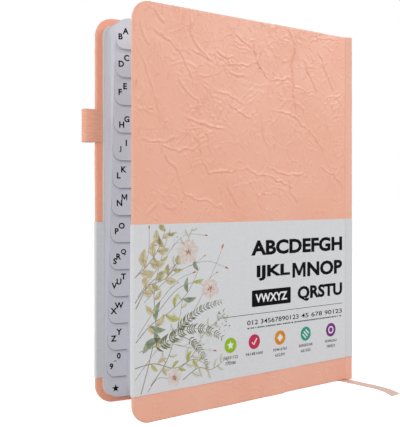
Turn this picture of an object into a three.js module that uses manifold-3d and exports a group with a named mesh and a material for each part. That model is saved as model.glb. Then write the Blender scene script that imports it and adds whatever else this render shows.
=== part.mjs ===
// A hardback address book with cut-in index sections, a paper belly band, a pen loop and a ribbon marker.
// Millimetres, +Z up. It stands on its tail edge with the front cover ajar: fore edge at -X, front at -Y.
// Depth is measured inwards from the outer face of the closed cover, on the front and on the back alike.

import * as THREE from "three";
import { mergeVertices } from "three/addons/utils/BufferGeometryUtils.js";
import Module from "manifold-3d";

const wasm = await Module();
wasm.setup();

// Covers
const coverHeight = 216;
const coverWidth = 155;
const coverCorner = 10;
const coverRounding = 0.6;
const frontOpening = 10.8;
const clothThickness = 0.45;
const boardThickness = 1.3;
const turnInThickness = 0.35;
const turnInWidth = 16;
const pastedownThickness = 0.2;
const pastedownMargin = 4;
const pastedownCorner = 6;

// Clearances: between pieces that lie on each other, and on each side of a hinge line
const fit = 0.1;
const hingeGap = 0.35;

// Joint strips and spine
const grooveDepth = 0.9;
const jointWidth = 4.6;
const shoulderRise = 0.35;
const shoulderRadius = 0.45;
const stripStart = 0.25;
const stripEnd = 0.65;
const liningThickness = 0.25;
const spineBoardThickness = 1.2;
const spineBoardInset = 1.3;
const hollowBack = 0.3;
const gauzeThickness = 0.3;
const gauzeMargin = 9;
const footGap = 0.5;
const footGapLength = 50;
const footGapRamp = 3;

// Leaves
const leafHeight = 210;
const foreEdgeOverhang = 5;
const leafCorner = 8;
const sectionCount = 14;
const sectionThickness = 1.08;
const sectionGap = 0.12;
const ribbonRoom = 0.6;
const firstTab = 17.4;
const lastTab = 11.4;
const tabWidth = 12.5;
const tabCorner = 5;
const stepCorner = 1.5;
const boundWidth = 7.5;
const gutterGap = 0.3;
const flyleafThickness = 0.2;

// Headbands
const headbandRadius = 0.75;
const headbandSkirt = 12;
const headbandSkirtThickness = 0.15;

// Belly band
const bandBottom = 14.6;
const bandTop = 101.7;
const bandThickness = 0.2;
const bandFlap = 55;
const bandRounding = 0.8;

// Pen loop
const loopBottom = 146;
const loopWidth = 18.4;
const loopReach = 7.5;
const loopDepth = 6.9;
const loopWall = 0.55;
const loopTail = 13;
const loopTailThickness = 0.9;
const loopTailDepth = 1.35;

// Ribbon marker. It hangs between the middle leaves, bends out at the tail and lies on the surface in front.
// Its route is hand-laid on the ribbon's flat sheet, as [place along X, length from the top end].
const ribbonWidth = 7;
const ribbonThickness = 0.25;
const ribbonTop = 211;
const ribbonBend = 2.6;
const ribbonLift = 0.04;
const ribbonSlant = 4.4;
const ribbonSteps = 72;
const ribbonRoute = [
  [-21, 0],
  [-21, 22],
  [-21, 44],
  [-21, 66],
  [-21, 88],
  [-21, 110],
  [-21, 132],
  [-21, 152],
  [-20.8, 170],
  [-19.6, 183],
  [-16.6, 194],
  [-13, 202],
  [-9.5, 208],
  [-6, 213],
  [-2.8, 218],
  [-0.4, 223],
  [1.8, 231.5],
  [4.3, 241],
  [6, 250],
  [5.9, 258],
  [4, 266.4],
];

// Sizes that follow from the ones above
const trayDepth = clothThickness + fit + boardThickness + fit + turnInThickness;
const coverDepth = trayDepth + fit + pastedownThickness;
const flyleafDepth = coverDepth + fit + bandThickness + fit;
const blockDepth = flyleafDepth + flyleafThickness + fit;
const halfCount = sectionCount / 2;
const sectionPitch = sectionThickness + sectionGap;
const blockThickness = sectionCount * sectionPitch - 2 * sectionGap + ribbonRoom;
const bookThickness = 2 * blockDepth + blockThickness;
const leafBottom = (coverHeight - leafHeight) / 2;
const leafTop = leafBottom + leafHeight;
const leafEdge = -coverWidth + foreEdgeOverhang;
const tabPitch = (leafHeight - firstTab - lastTab) / (sectionCount - 2);
const spineBoardBack = jointWidth - fit;
const spineBoardFront = spineBoardBack - spineBoardThickness;
const blockSpine = spineBoardFront - hollowBack - gauzeThickness - fit;
const gutter = blockSpine - boundWidth;
const depthOf = { front: (d) => d, back: (d) => bookThickness - d };

const cloth = new THREE.MeshStandardMaterial({ color: 0xe3a88f, roughness: 0.6, metalness: 0 });
const greyBoard = new THREE.MeshStandardMaterial({ color: 0xa59f93, roughness: 0.9, metalness: 0 });
const paper = new THREE.MeshStandardMaterial({ color: 0xe9e8ec, roughness: 0.85, metalness: 0 });
const bandPaper = new THREE.MeshStandardMaterial({ color: 0xdedfe1, roughness: 0.55, metalness: 0 });
const gauze = new THREE.MeshStandardMaterial({ color: 0xd9d4c6, roughness: 0.95, metalness: 0 });
const elastic = new THREE.MeshStandardMaterial({ color: 0xdd9c82, roughness: 0.8, metalness: 0 });
const satin = new THREE.MeshStandardMaterial({ color: 0xe6b59f, roughness: 0.4, metalness: 0 });

function piece(name, geometry, material) {
  const mesh = new THREE.Mesh(geometry, material);
  mesh.name = name;
  return mesh;
}

// A closed outline from corners [x, y, radius], with an arc at each corner that has a radius.
function outline(corners) {
  const shape = new THREE.Shape();
  corners.forEach(([x, y, radius = 0], i) => {
    if (!radius) {
      if (i) shape.lineTo(x, y);
      else shape.moveTo(x, y);
      return;
    }
    const corner = new THREE.Vector2(x, y);
    const [lastX, lastY] = corners.at(i - 1);
    const [nextX, nextY] = corners[(i + 1) % corners.length];
    const back = new THREE.Vector2(lastX, lastY).sub(corner).normalize();
    const ahead = new THREE.Vector2(nextX, nextY).sub(corner).normalize();
    const half = Math.acos(back.dot(ahead)) / 2;
    const middle = back.clone().add(ahead).normalize();
    const centre = corner.clone().addScaledVector(middle, radius / Math.sin(half));
    const reach = radius / Math.tan(half);
    const from = corner.clone().addScaledVector(back, reach).sub(centre).angle();
    const to = corner.clone().addScaledVector(ahead, reach).sub(centre).angle();
    shape.absarc(centre.x, centre.y, radius, from, to, back.cross(ahead) > 0);
  });
  return shape;
}

// Drawn in X and Y, and as high as from bottom to top.
function prism(shape, bottom, top, arcSteps = 3) {
  const options = { depth: top - bottom, bevelEnabled: false, curveSegments: arcSteps };
  return new THREE.ExtrudeGeometry(shape, options).translate(0, 0, bottom);
}

// Drawn in X and Z, and as thick along Y as from near to far, with its edges rounded over.
function plate(shape, near, far, arcSteps = 3, rounding = 0) {
  const options = {
    depth: Math.abs(far - near) - 2 * rounding,
    bevelEnabled: rounding > 0,
    bevelThickness: rounding,
    bevelSize: rounding,
    bevelOffset: -rounding,
    bevelSegments: 3,
    curveSegments: arcSteps,
  };
  const geometry = new THREE.ExtrudeGeometry(shape, options).rotateX(Math.PI / 2);
  return geometry.translate(0, Math.max(near, far) - rounding, 0);
}

function box(x0, x1, y0, y1, z0, z1) {
  const geometry = new THREE.BoxGeometry(x1 - x0, Math.abs(y1 - y0), z1 - z0);
  return geometry.translate((x0 + x1) / 2, (y0 + y1) / 2, (z0 + z1) / 2);
}

function toSolid(geometry) {
  const bare = geometry.clone();
  bare.deleteAttribute("normal");
  bare.deleteAttribute("uv");
  const merged = mergeVertices(bare, 1e-5);
  const vertProperties = Float32Array.from(merged.attributes.position.array);
  const triVerts = Uint32Array.from(merged.index.array);
  return new wasm.Manifold(new wasm.Mesh({ numProp: 3, vertProperties, triVerts }));
}

function toGeometry(solid) {
  const made = solid.getMesh();
  const geometry = new THREE.BufferGeometry();
  geometry.setAttribute("position", new THREE.BufferAttribute(made.vertProperties, 3));
  geometry.setIndex(new THREE.BufferAttribute(made.triVerts, 1));
  geometry.computeVertexNormals();
  return geometry;
}

function join(...parts) {
  return toGeometry(parts.map(toSolid).reduce((whole, part) => whole.add(part)));
}

function cut(body, ...tools) {
  return toGeometry(tools.map(toSolid).reduce((whole, tool) => whole.subtract(tool), toSolid(body)));
}

// The cover's outline, drawn in by an inset. Its foot is raised beside the groove, so it swings over the ribbon.
function coverOutline(inset) {
  const left = -coverWidth + inset;
  const right = -hingeGap - inset;
  const corner = coverCorner - inset;
  return outline([
    [left, inset, corner],
    [-footGapLength - footGapRamp, inset],
    [-footGapLength, footGap + inset],
    [right, footGap + inset],
    [right, coverHeight - inset],
    [left, coverHeight - inset, corner],
  ]);
}

// The window that the turned-in cloth leaves open on the inner face, open towards the groove.
function turnInWindow(inset, right) {
  const left = -coverWidth + turnInWidth + inset;
  return outline([
    [left, turnInWidth + inset],
    [right, turnInWidth + inset],
    [right, coverHeight - turnInWidth - inset],
    [left, coverHeight - turnInWidth - inset],
  ]);
}

const boardOuter = clothThickness + fit;
const boardInner = boardOuter + boardThickness;
const pocketDepth = boardInner + fit;

function coverCloth(at, notches) {
  const whole = plate(coverOutline(0), at(0), at(trayDepth), 6, coverRounding);
  const pocket = plate(coverOutline(clothThickness), at(clothThickness), at(pocketDepth), 6);
  const window = plate(turnInWindow(0, 1), at(boardInner), at(trayDepth + 1));
  return cut(whole, pocket, window, ...notches);
}

function coverBoard(at, notches) {
  const board = plate(coverOutline(clothThickness + fit), at(boardOuter), at(boardInner), 6);
  return notches.length ? cut(board, ...notches) : board;
}

function pastedown(at) {
  const left = -coverWidth + pastedownMargin;
  const right = -hingeGap - clothThickness;
  const bottom = pastedownMargin;
  const top = coverHeight - pastedownMargin;
  const sheet = outline([
    [left, bottom, pastedownCorner],
    [right, bottom],
    [right, top],
    [left, top, pastedownCorner],
  ]);
  const face = plate(sheet, at(trayDepth + fit), at(coverDepth), 4);
  const panel = plate(turnInWindow(fit, right), at(pocketDepth), at(trayDepth + fit + pastedownThickness / 2));
  return join(face, panel);
}

// A strip beside the line from the groove to the spine's shoulder, from one offset inwards to another.
function jointStrip(at, start, end, outer, inner) {
  const groove = new THREE.Vector2(0, grooveDepth);
  const shoulder = new THREE.Vector2(jointWidth, -shoulderRise);
  const along = shoulder.clone().sub(groove).normalize();
  const inwards = new THREE.Vector2(-along.y, along.x);
  const corner = (place, distance, offset) => {
    const point = place.clone().addScaledVector(along, distance).addScaledVector(inwards, offset);
    return [point.x, at(point.y)];
  };
  return outline([
    corner(groove, start, outer),
    corner(shoulder, -end, outer),
    corner(shoulder, -end, inner),
    corner(groove, start, inner),
  ]);
}

function jointCloth(at) {
  const strip = jointStrip(at, stripStart, stripEnd, -clothThickness, 0);
  return prism(strip, footGap, coverHeight);
}

function jointLining(at) {
  const strip = jointStrip(at, stripStart, stripEnd, fit, fit + liningThickness);
  return prism(strip, leafBottom, leafTop);
}

function bandOverJoint(at) {
  const near = -clothThickness - fit;
  const strip = jointStrip(at, stripStart, stripEnd + hingeGap, near - bandThickness, near);
  return prism(strip, bandBottom, bandTop);
}

// The band's sheet over one cover: its outer face, the fold round the fore edge and the flap inside.
function bandOverCover(at) {
  const right = -hingeGap - fit;
  const left = -coverWidth - fit;
  const flapEnd = left + bandFlap;
  const out = -fit;
  const within = coverDepth + fit;
  const fold = bandRounding;
  const tight = bandRounding - bandThickness;
  const corners = [
    [right, out],
    [right, out - bandThickness],
    [left - bandThickness, out - bandThickness, fold],
    [left - bandThickness, within + bandThickness, fold],
    [flapEnd, within + bandThickness],
    [flapEnd, within],
    [left, within, tight],
    [left, out, tight],
  ];
  return prism(outline(corners.map(([x, depth, radius]) => [x, at(depth), radius])), bandBottom, bandTop);
}

function bandOverSpine() {
  const left = jointWidth + shoulderRadius + fit;
  const near = -shoulderRise + shoulderRadius / 2;
  return box(left, left + bandThickness, near, bookThickness - near, bandBottom, bandTop);
}

function spineCloth() {
  const near = -shoulderRise;
  const far = bookThickness + shoulderRise;
  const height = coverHeight - footGap;
  const face = box(jointWidth, jointWidth + shoulderRadius, near, far, footGap, coverHeight);
  const shoulder = (y) => {
    const bead = new THREE.CylinderGeometry(shoulderRadius, shoulderRadius, height, 16);
    return bead.rotateX(Math.PI / 2).translate(jointWidth, y, footGap + height / 2);
  };
  const turnIn = (bottom) => {
    const inner = near + spineBoardInset;
    return box(spineBoardFront, jointWidth + fit, inner, bookThickness - inner, bottom, bottom + clothThickness);
  };
  return join(face, shoulder(near), shoulder(far), turnIn(footGap), turnIn(coverHeight - clothThickness));
}

function spineBoard() {
  const near = -shoulderRise + spineBoardInset;
  const bottom = footGap + clothThickness + fit;
  const top = coverHeight - clothThickness - fit;
  return box(spineBoardFront, spineBoardBack, near, bookThickness - near, bottom, top);
}

function spineGauze() {
  const left = blockSpine + fit;
  const far = blockDepth + blockThickness;
  return box(left, left + gauzeThickness, blockDepth, far, leafBottom + gauzeMargin, leafTop - gauzeMargin);
}

function boundFolds() {
  return box(gutter, blockSpine, blockDepth, blockDepth + blockThickness, leafBottom, leafTop);
}

// A woven cord along the end of the block's spine, with its tape glued down over the gauze.
function headband(edge, outwards) {
  const cordHeight = edge + outwards * (headbandRadius + fit);
  const skirtLeft = blockSpine + fit + gauzeThickness + fit / 2;
  const skirtRight = skirtLeft + headbandSkirtThickness;
  const cordMiddle = skirtRight - headbandRadius;
  const cord = new THREE.CylinderGeometry(headbandRadius, headbandRadius, blockThickness, 12);
  cord.translate(cordMiddle, blockDepth + blockThickness / 2, cordHeight);
  const ends = [edge - outwards * headbandSkirt, cordHeight];
  const [low, high] = [Math.min(...ends), Math.max(...ends)];
  const skirt = box(skirtLeft, skirtRight, blockDepth, blockDepth + blockThickness, low, high);
  return join(cord, skirt);
}

// One index section: full width down to the foot of its own tab, and cut back below it.
function indexSection(index) {
  const last = index === sectionCount - 1;
  const tabFoot = leafTop - firstTab - index * tabPitch;
  const right = gutter - gutterGap;
  const stepped = [
    [leafEdge, tabFoot, tabCorner],
    [leafEdge + tabWidth, tabFoot, stepCorner],
    [leafEdge + tabWidth, leafBottom, tabCorner],
  ];
  const shape = outline([
    [right, leafTop],
    [leafEdge, leafTop, leafCorner],
    ...(last ? [[leafEdge, leafBottom, leafCorner]] : stepped),
    [right, leafBottom],
  ]);
  const pastMiddle = index < halfCount ? 0 : ribbonRoom - sectionGap;
  const near = blockDepth + index * sectionPitch + pastMiddle;
  return plate(shape, near, near + sectionThickness);
}

function flyleaf(at) {
  const left = leafEdge + tabWidth;
  const right = gutter - gutterGap;
  const shape = outline([
    [right, leafTop],
    [left, leafTop, leafCorner],
    [left, leafBottom, leafCorner],
    [right, leafBottom],
  ]);
  return plate(shape, at(flyleafDepth), at(flyleafDepth + flyleafThickness));
}

// The notch in the back cover's inner side that takes the loop's tail.
function loopNotch() {
  const left = -coverWidth - 1;
  const right = -coverWidth + loopTail + fit;
  const near = depthOf.back(loopTailDepth - fit);
  const far = depthOf.back(trayDepth + 1);
  return box(left, right, near, far, loopBottom - fit, loopBottom + loopWidth + fit);
}

function penLoop() {
  const middle = -coverWidth - fit - loopReach / 2;
  const depth = depthOf.back(loopTailDepth + loopTailThickness / 2);
  const ring = new THREE.Shape();
  ring.absellipse(middle, depth, loopReach / 2, loopDepth / 2, 0, 2 * Math.PI);
  const bore = new THREE.Path();
  bore.absellipse(middle, depth, loopReach / 2 - loopWall, loopDepth / 2 - loopWall, 0, 2 * Math.PI);
  ring.holes.push(bore);
  const top = loopBottom + loopWidth;
  const tailStart = -coverWidth - fit - loopWall * 0.8;
  const near = depth - loopTailThickness / 2;
  const tail = box(tailStart, -coverWidth + loopTail, near, near + loopTailThickness, loopBottom, top);
  return join(prism(ring, loopBottom, top, 16), tail);
}

// Where a point of the ribbon's flat sheet lies: [y, z] and the direction across the ribbon's thickness.
function ribbonPlace(length) {
  const height = ribbonThickness / 2 + ribbonLift;
  const hanging = ribbonTop - height - ribbonBend;
  const y = blockDepth + blockThickness / 2;
  if (length <= hanging) return [y, ribbonTop - length, -1, 0];
  const turn = (length - hanging) / ribbonBend;
  if (turn < Math.PI / 2) {
    const [away, down] = [1 - Math.cos(turn), 1 - Math.sin(turn)];
    return [y - ribbonBend * away, height + ribbonBend * down, -Math.cos(turn), Math.sin(turn)];
  }
  return [y - ribbonBend - ribbonBend * (turn - Math.PI / 2), height, 0, 1];
}

function ribbon() {
  const route = new THREE.SplineCurve(ribbonRoute.map((point) => new THREE.Vector2(...point)));
  const positions = [];
  const faces = [];
  for (let i = 0; i <= ribbonSteps; i += 1) {
    const centre = route.getPointAt(i / ribbonSteps);
    const along = route.getTangentAt(i / ribbonSteps);
    const slant = i === ribbonSteps ? ribbonSlant / 2 : 0;
    for (const [side, face] of [[-1, -1], [1, -1], [1, 1], [-1, 1]]) {
      const x = centre.x + (side * along.y * ribbonWidth) / 2 - side * along.x * slant;
      const length = centre.y - (side * along.x * ribbonWidth) / 2 - side * along.y * slant;
      const [y, z, overY, overZ] = ribbonPlace(length);
      const through = (face * ribbonThickness) / 2;
      positions.push(x, y + through * overY, z + through * overZ);
    }
  }
  for (let i = 0; i < ribbonSteps; i += 1) {
    for (let side = 0; side < 4; side += 1) {
      const a = 4 * i + side;
      const b = 4 * i + ((side + 1) % 4);
      faces.push(a, b, a + 4, b, b + 4, a + 4);
    }
  }
  const end = 4 * ribbonSteps;
  faces.push(0, 2, 1, 0, 3, 2, end, end + 1, end + 2, end, end + 2, end + 3);
  const geometry = new THREE.BufferGeometry();
  geometry.setAttribute("position", new THREE.Float32BufferAttribute(positions, 3));
  geometry.setIndex(faces);
  geometry.computeVertexNormals();
  return geometry;
}

// The four pieces of one cover, in their closed place.
function cover(side, notches) {
  const at = depthOf[side];
  return [
    piece(`${side}_cloth`, coverCloth(at, notches), cloth),
    piece(`${side}_board`, coverBoard(at, notches), greyBoard),
    piece(`${side}_pastedown`, pastedown(at), paper),
    piece(`${side}_band`, bandOverCover(at), bandPaper),
  ];
}

function joint(side) {
  const at = depthOf[side];
  return [
    piece(`${side}_joint_cloth`, jointCloth(at), cloth),
    piece(`${side}_joint_lining`, jointLining(at), paper),
    piece(`${side}_joint_band`, bandOverJoint(at), bandPaper),
  ];
}

// A group turned about an upright axis, holding pieces that are drawn in their closed place.
function turned(axisX, axisY, degrees, pieces) {
  const group = new THREE.Group();
  group.position.set(axisX, axisY, 0);
  group.rotation.z = THREE.MathUtils.degToRad(degrees);
  pieces.forEach((mesh) => mesh.position.set(-axisX, -axisY, 0));
  return group.add(...pieces);
}

const sections = Array.from({ length: sectionCount }, (_, i) => {
  return piece(`section_${String(i + 1).padStart(2, "0")}`, indexSection(i), paper);
});

const inner = new THREE.Group();
inner.add(
  piece("spine_cloth", spineCloth(), cloth),
  piece("spine_board", spineBoard(), greyBoard),
  piece("spine_gauze", spineGauze(), gauze),
  piece("spine_band", bandOverSpine(), bandPaper),
  piece("bound_folds", boundFolds(), paper),
  piece("headband_top", headband(leafTop, 1), satin),
  piece("headband_bottom", headband(leafBottom, -1), satin),
  ...joint("front"),
  ...joint("back"),
  turned(0, grooveDepth, frontOpening, cover("front", [])),
  ...cover("back", [loopNotch()]),
  piece("pen_loop", penLoop(), elastic),
  piece("front_flyleaf", flyleaf(depthOf.front), paper),
  piece("back_flyleaf", flyleaf(depthOf.back), paper),
  ...sections,
);

// The origin is under the middle of the book without its ribbon, on the surface that it stands on.
const extent = new THREE.Box3().setFromObject(inner);
const middle = extent.getCenter(new THREE.Vector3());
inner.add(piece("ribbon", ribbon(), satin));
inner.position.set(-middle.x, -middle.y, 0);

export default new THREE.Group().add(inner);
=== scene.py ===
from math import atan2, cos, hypot, pi, radians, sin, sqrt

import bmesh
import bpy
import numpy as np
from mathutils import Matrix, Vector


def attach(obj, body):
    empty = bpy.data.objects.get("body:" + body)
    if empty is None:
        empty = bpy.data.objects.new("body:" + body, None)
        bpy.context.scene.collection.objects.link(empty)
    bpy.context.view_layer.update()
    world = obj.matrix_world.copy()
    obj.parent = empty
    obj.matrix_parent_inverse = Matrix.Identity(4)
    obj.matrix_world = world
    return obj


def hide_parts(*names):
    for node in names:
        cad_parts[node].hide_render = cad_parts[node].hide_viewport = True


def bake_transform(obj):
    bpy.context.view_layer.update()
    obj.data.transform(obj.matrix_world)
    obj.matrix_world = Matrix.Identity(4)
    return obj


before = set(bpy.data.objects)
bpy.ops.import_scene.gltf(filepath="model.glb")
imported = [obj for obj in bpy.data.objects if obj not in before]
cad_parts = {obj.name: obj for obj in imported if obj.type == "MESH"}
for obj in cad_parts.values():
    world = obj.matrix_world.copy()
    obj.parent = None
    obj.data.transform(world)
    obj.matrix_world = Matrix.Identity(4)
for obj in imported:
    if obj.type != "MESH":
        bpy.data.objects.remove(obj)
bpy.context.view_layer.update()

# Sizes of the book in mm, as its solids have them: x = 0 at the front groove, y = 0 at the front face
book = {
    "shift": (78.62500, 1.98453),
    "height": 216.0,
    "width": 155.0,
    "corner": 10.0,
    "thickness": 23.76,
    "trayDepth": 2.3,
    "grooveDepth": 0.9,
    "jointWidth": 4.6,
    "shoulderRise": 0.35,
    "opening": 10.8,
    "footGap": 0.5,
    "bandBottom": 14.6,
    "bandTop": 101.7,
    "bandFace": -0.3,
    "blockNear": 3.3,
    "blockThickness": 17.16,
    "leafBottom": 3.0,
    "leafTop": 213.0,
    "leafEdge": -150.0,
}
print("frame loaded:", len(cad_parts), "solids")


def closedPlace(x, y, z):
    alongX, alongY = book["shift"]
    return np.stack(np.broadcast_arrays(x + alongX, y + alongY, z), -1) / 1000.0


# The front cover stands ajar, turned about its groove
def frontPlace(x, depth, z):
    angle = radians(book["opening"])
    y = depth - book["grooveDepth"]
    across = x * cos(angle) - y * sin(angle)
    return closedPlace(across, x * sin(angle) + y * cos(angle) + book["grooveDepth"], z)


def backPlace(x, depth, z):
    return closedPlace(x, book["thickness"] - depth, z)


# Camera: place in mm, turn in degrees, and the photograph's focal length and optical centre in pixels
camera = {
    "place": (-295.77, -407.43, 116.54),
    "turn": 29.29,
    "focal": 794.3,
    "centre": (251.8, 195.19),
    "frame": (400, 427),
}


def makeCamera():
    width, height = camera["frame"]
    data = bpy.data.cameras.new("camera")
    data.sensor_width = 36.0
    data.lens = camera["focal"] * data.sensor_width / height
    data.shift_x = (width / 2 - camera["centre"][0]) / height
    data.shift_y = (camera["centre"][1] - height / 2) / height
    data.clip_start = 0.01
    eye = bpy.data.objects.new("camera", data)
    eye.location = tuple(closedPlace(*camera["place"]))
    eye.rotation_euler = (pi / 2, 0.0, -radians(camera["turn"]))
    bpy.context.scene.collection.objects.link(eye)
    bpy.context.scene.camera = eye


# Where a pixel of the photograph falls on an upright plane of the book: the ajar cover, or a level of y
def fromPhoto(px, py, level=0.0, onCover=True):
    angle = radians(camera["turn"])
    across = (px - camera["centre"][0]) / camera["focal"]
    ray = np.array((sin(angle) + across * cos(angle), cos(angle) - across * sin(angle),
                    (camera["centre"][1] - py) / camera["focal"]))
    start = np.array(camera["place"])
    if onCover:
        opening = -radians(book["opening"])
        back = np.array(((cos(opening), -sin(opening), 0), (sin(opening), cos(opening), 0), (0, 0, 1)))
        pivot = np.array((0, book["grooveDepth"], 0))
        start, ray = back @ (start - pivot) + pivot, back @ ray
    hit = start + ray * (level - start[1]) / ray[1]
    return hit[0], hit[2]


makeCamera()


def smoothStep(value):
    value = np.clip(value, 0.0, 1.0)
    return value * value * (3 - 2 * value)


def makePiece(name, points, faces, materials, uv=None, faceMaterial=None, sharp=35, closed=True):
    mesh = bpy.data.meshes.new(name)
    mesh.from_pydata([tuple(p) for p in np.asarray(points, float)], [], faces)
    for made in materials:
        mesh.materials.append(made)
    if faceMaterial is not None:
        mesh.polygons.foreach_set("material_index", faceMaterial)
    if uv is not None:
        layer = mesh.uv_layers.new(name="flat")
        corners = np.empty(len(mesh.loops), np.int64)
        mesh.loops.foreach_get("vertex_index", corners)
        layer.data.foreach_set("uv", np.asarray(uv, np.float32)[corners].ravel())
    if closed:
        work = bmesh.new()
        work.from_mesh(mesh)
        bmesh.ops.recalc_face_normals(work, faces=work.faces)
        work.to_mesh(mesh)
        work.free()
    mesh.polygons.foreach_set("use_smooth", [True] * len(mesh.polygons))
    mesh.set_sharp_from_angle(angle=radians(sharp))
    made = bpy.data.objects.new(name, mesh)
    bpy.context.scene.collection.objects.link(made)
    return made


# Lengths along a line of points, from its start
def lengthsAlong(line):
    return np.concatenate(([0], np.cumsum(np.hypot(*np.diff(line, axis=0).T))))


def headingsAlong(line):
    along = np.gradient(line, axis=0)
    return along / np.maximum(np.linalg.norm(along, axis=1), 1e-9)[:, None]


def normalsAlong(line):
    along = headingsAlong(line)
    return np.stack((along[:, 1], -along[:, 0]), -1)


# Places on a piece's flat map, in mm
def flatPlace(across, up):
    return np.stack(np.broadcast_arrays(across, up), -1)


# A smooth curve through given points, sampled at even steps of its length
def smoothRoute(points, count):
    points = np.asarray(points, float)
    padded = np.vstack((points[0], points, points[-1]))
    dense = []
    for i in range(len(points) - 1):
        a, b, c, d = padded[i:i + 4]
        t = np.linspace(0, 1, 40, endpoint=False)[:, None]
        before, after = (c - a) / 2, (d - b) / 2
        dense.append((2 * b - 2 * c + before + after) * t**3
                     + (-3 * b + 3 * c - 2 * before - after) * t**2 + before * t + b)
    dense = np.vstack(dense + [points[-1:]])
    travel = lengthsAlong(dense)
    wanted = np.linspace(0, travel[-1], count)
    return np.stack([np.interp(wanted, travel, dense[:, k]) for k in range(dense.shape[1])], -1)


# Faces of a sheet of points, stored column after column
def gridFaces(columns, rows):
    return [(i * rows + j, (i + 1) * rows + j, (i + 1) * rows + j + 1, i * rows + j + 1)
            for i in range(columns - 1) for j in range(rows - 1)]


# Faces of a bar: equal rings of points one after another, and a face at each end
def barFaces(rings, n):
    faces = [(i * n + k, i * n + (k + 1) % n, (i + 1) * n + (k + 1) % n, (i + 1) * n + k)
             for i in range(rings - 1) for k in range(n)]
    return faces + [tuple(range(n)), tuple((rings - 1) * n + k for k in range(n))]


def roundOutline(x, z, reach, count):
    return [(x + reach * cos(t), z + reach * sin(t)) for t in np.arange(count) * 2 * pi / count]


def boxOutline(left, bottom, right, top):
    return [(left, bottom), (right, bottom), (right, top), (left, top)]


# Colours are written as they look, 0 to 255
def colour(red, green, blue):
    linear = [c / 255 / 12.92 if c <= 10.3 else ((c / 255 + 0.055) / 1.055) ** 2.4
              for c in (red, green, blue)]
    return (*linear, 1.0)


# A socket takes a fixed value or another node's output
def feed(tree, socket, value):
    if isinstance(value, bpy.types.NodeSocket):
        tree.links.new(value, socket)
    else:
        socket.default_value = value


def addNode(tree, kind, values=None, **settings):
    made = tree.nodes.new(kind)
    for key, value in settings.items():
        setattr(made, key, value)
    for key, value in (values or {}).items():
        feed(tree, made.inputs[key], value)
    return made


def calculate(tree, operation, *values):
    return addNode(tree, "ShaderNodeMath", dict(enumerate(values)), operation=operation).outputs[0]


def remap(tree, value, low, high, newLow=0.0, newHigh=1.0, kind="LINEAR"):
    ranges = {"From Min": low, "From Max": high, "To Min": newLow, "To Max": newHigh}
    return addNode(tree, "ShaderNodeMapRange", {"Value": value, **ranges}, interpolation_type=kind).outputs[0]


def addNoise(tree, vector, scale, detail, roughness=0.5):
    return addNode(tree, "ShaderNodeTexNoise", {
        "Vector": vector, "Scale": scale, "Detail": detail, "Roughness": roughness}).outputs


def addCells(tree, vector, scale, feature):
    cells = addNode(tree, "ShaderNodeTexVoronoi", {"Vector": vector, "Scale": scale}, feature=feature)
    return cells.outputs["Distance"]


# A node group takes a vector and named numbers, and gives named values
def newGroup(name, inputs, outputs):
    tree = bpy.data.node_groups.new(name, "ShaderNodeTree")
    tree.interface.new_socket(name="Vector", in_out="INPUT", socket_type="NodeSocketVector")
    for label, value in inputs.items():
        made = tree.interface.new_socket(name=label, in_out="INPUT", socket_type="NodeSocketFloat")
        made.default_value = value
    for label in outputs:
        tree.interface.new_socket(name=label, in_out="OUTPUT", socket_type="NodeSocketFloat")
    return tree, tree.nodes.new("NodeGroupInput").outputs, tree.nodes.new("NodeGroupOutput").inputs


def placeGroup(tree, group, vector, **values):
    return addNode(tree, "ShaderNodeGroup", {"Vector": vector, **values}, node_tree=group).outputs


# Soft patches of tone, for uneven dye, print and paper
def makeMottle():
    tree, given, result = newGroup("mottle", {"Size": 10.0, "Contrast": 1.0}, ["Mask"])
    scale = calculate(tree, "DIVIDE", 1.0, given["Size"])
    centred = calculate(tree, "SUBTRACT", addNoise(tree, given["Vector"], scale, 4.0, 0.55)["Fac"], 0.5)
    spread = calculate(tree, "MULTIPLY", centred, given["Contrast"])
    mask = calculate(tree, "MULTIPLY_ADD", spread, 2.0, 0.5)
    feed(tree, result["Mask"], addNode(tree, "ShaderNodeClamp", {"Value": mask}).outputs[0])
    return tree


# Pressed pores and fine folds of a coated cover cloth
def makeGrain():
    tree, given, result = newGroup("grain", {"Pore": 0.5, "Fold": 6.0}, ["Height", "Folds"])
    vector = given["Vector"]
    pores = addCells(tree, vector, calculate(tree, "DIVIDE", 1.0, given["Pore"]), "SMOOTH_F1")
    drift = addNoise(tree, vector, calculate(tree, "DIVIDE", 1.4, given["Fold"]), 3.0)
    push = addNode(tree, "ShaderNodeVectorMath", {0: drift["Color"], 1: (5.0, 5.0, 5.0), 2: vector},
                   operation="MULTIPLY_ADD").outputs[0]
    net = addCells(tree, push, calculate(tree, "DIVIDE", 1.0, given["Fold"]), "DISTANCE_TO_EDGE")
    line = remap(tree, net, 0.0, 0.09, 1.0, 0.0, "SMOOTHSTEP")
    gate = remap(tree, drift["Fac"], 0.5, 0.62, kind="SMOOTHSTEP")
    folds = calculate(tree, "MULTIPLY", line, gate)
    feed(tree, result["Height"], calculate(tree, "MULTIPLY_ADD", pores, 0.12, folds))
    feed(tree, result["Folds"], folds)
    return tree


# Matted fibres of paper and board
def makeFibre():
    tree, given, result = newGroup("fibre", {"Size": 0.6}, ["Height", "Tone"])
    scale = calculate(tree, "DIVIDE", 1.0, given["Size"])
    stretched = addNode(tree, "ShaderNodeVectorMath", {0: given["Vector"], 1: (0.35, 1.0, 1.0)},
                        operation="MULTIPLY").outputs[0]
    mat = addNoise(tree, stretched, scale, 5.0, 0.62)["Fac"]
    feed(tree, result["Height"], mat)
    feed(tree, result["Tone"], remap(tree, mat, 0.3, 0.7))
    return tree


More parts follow.
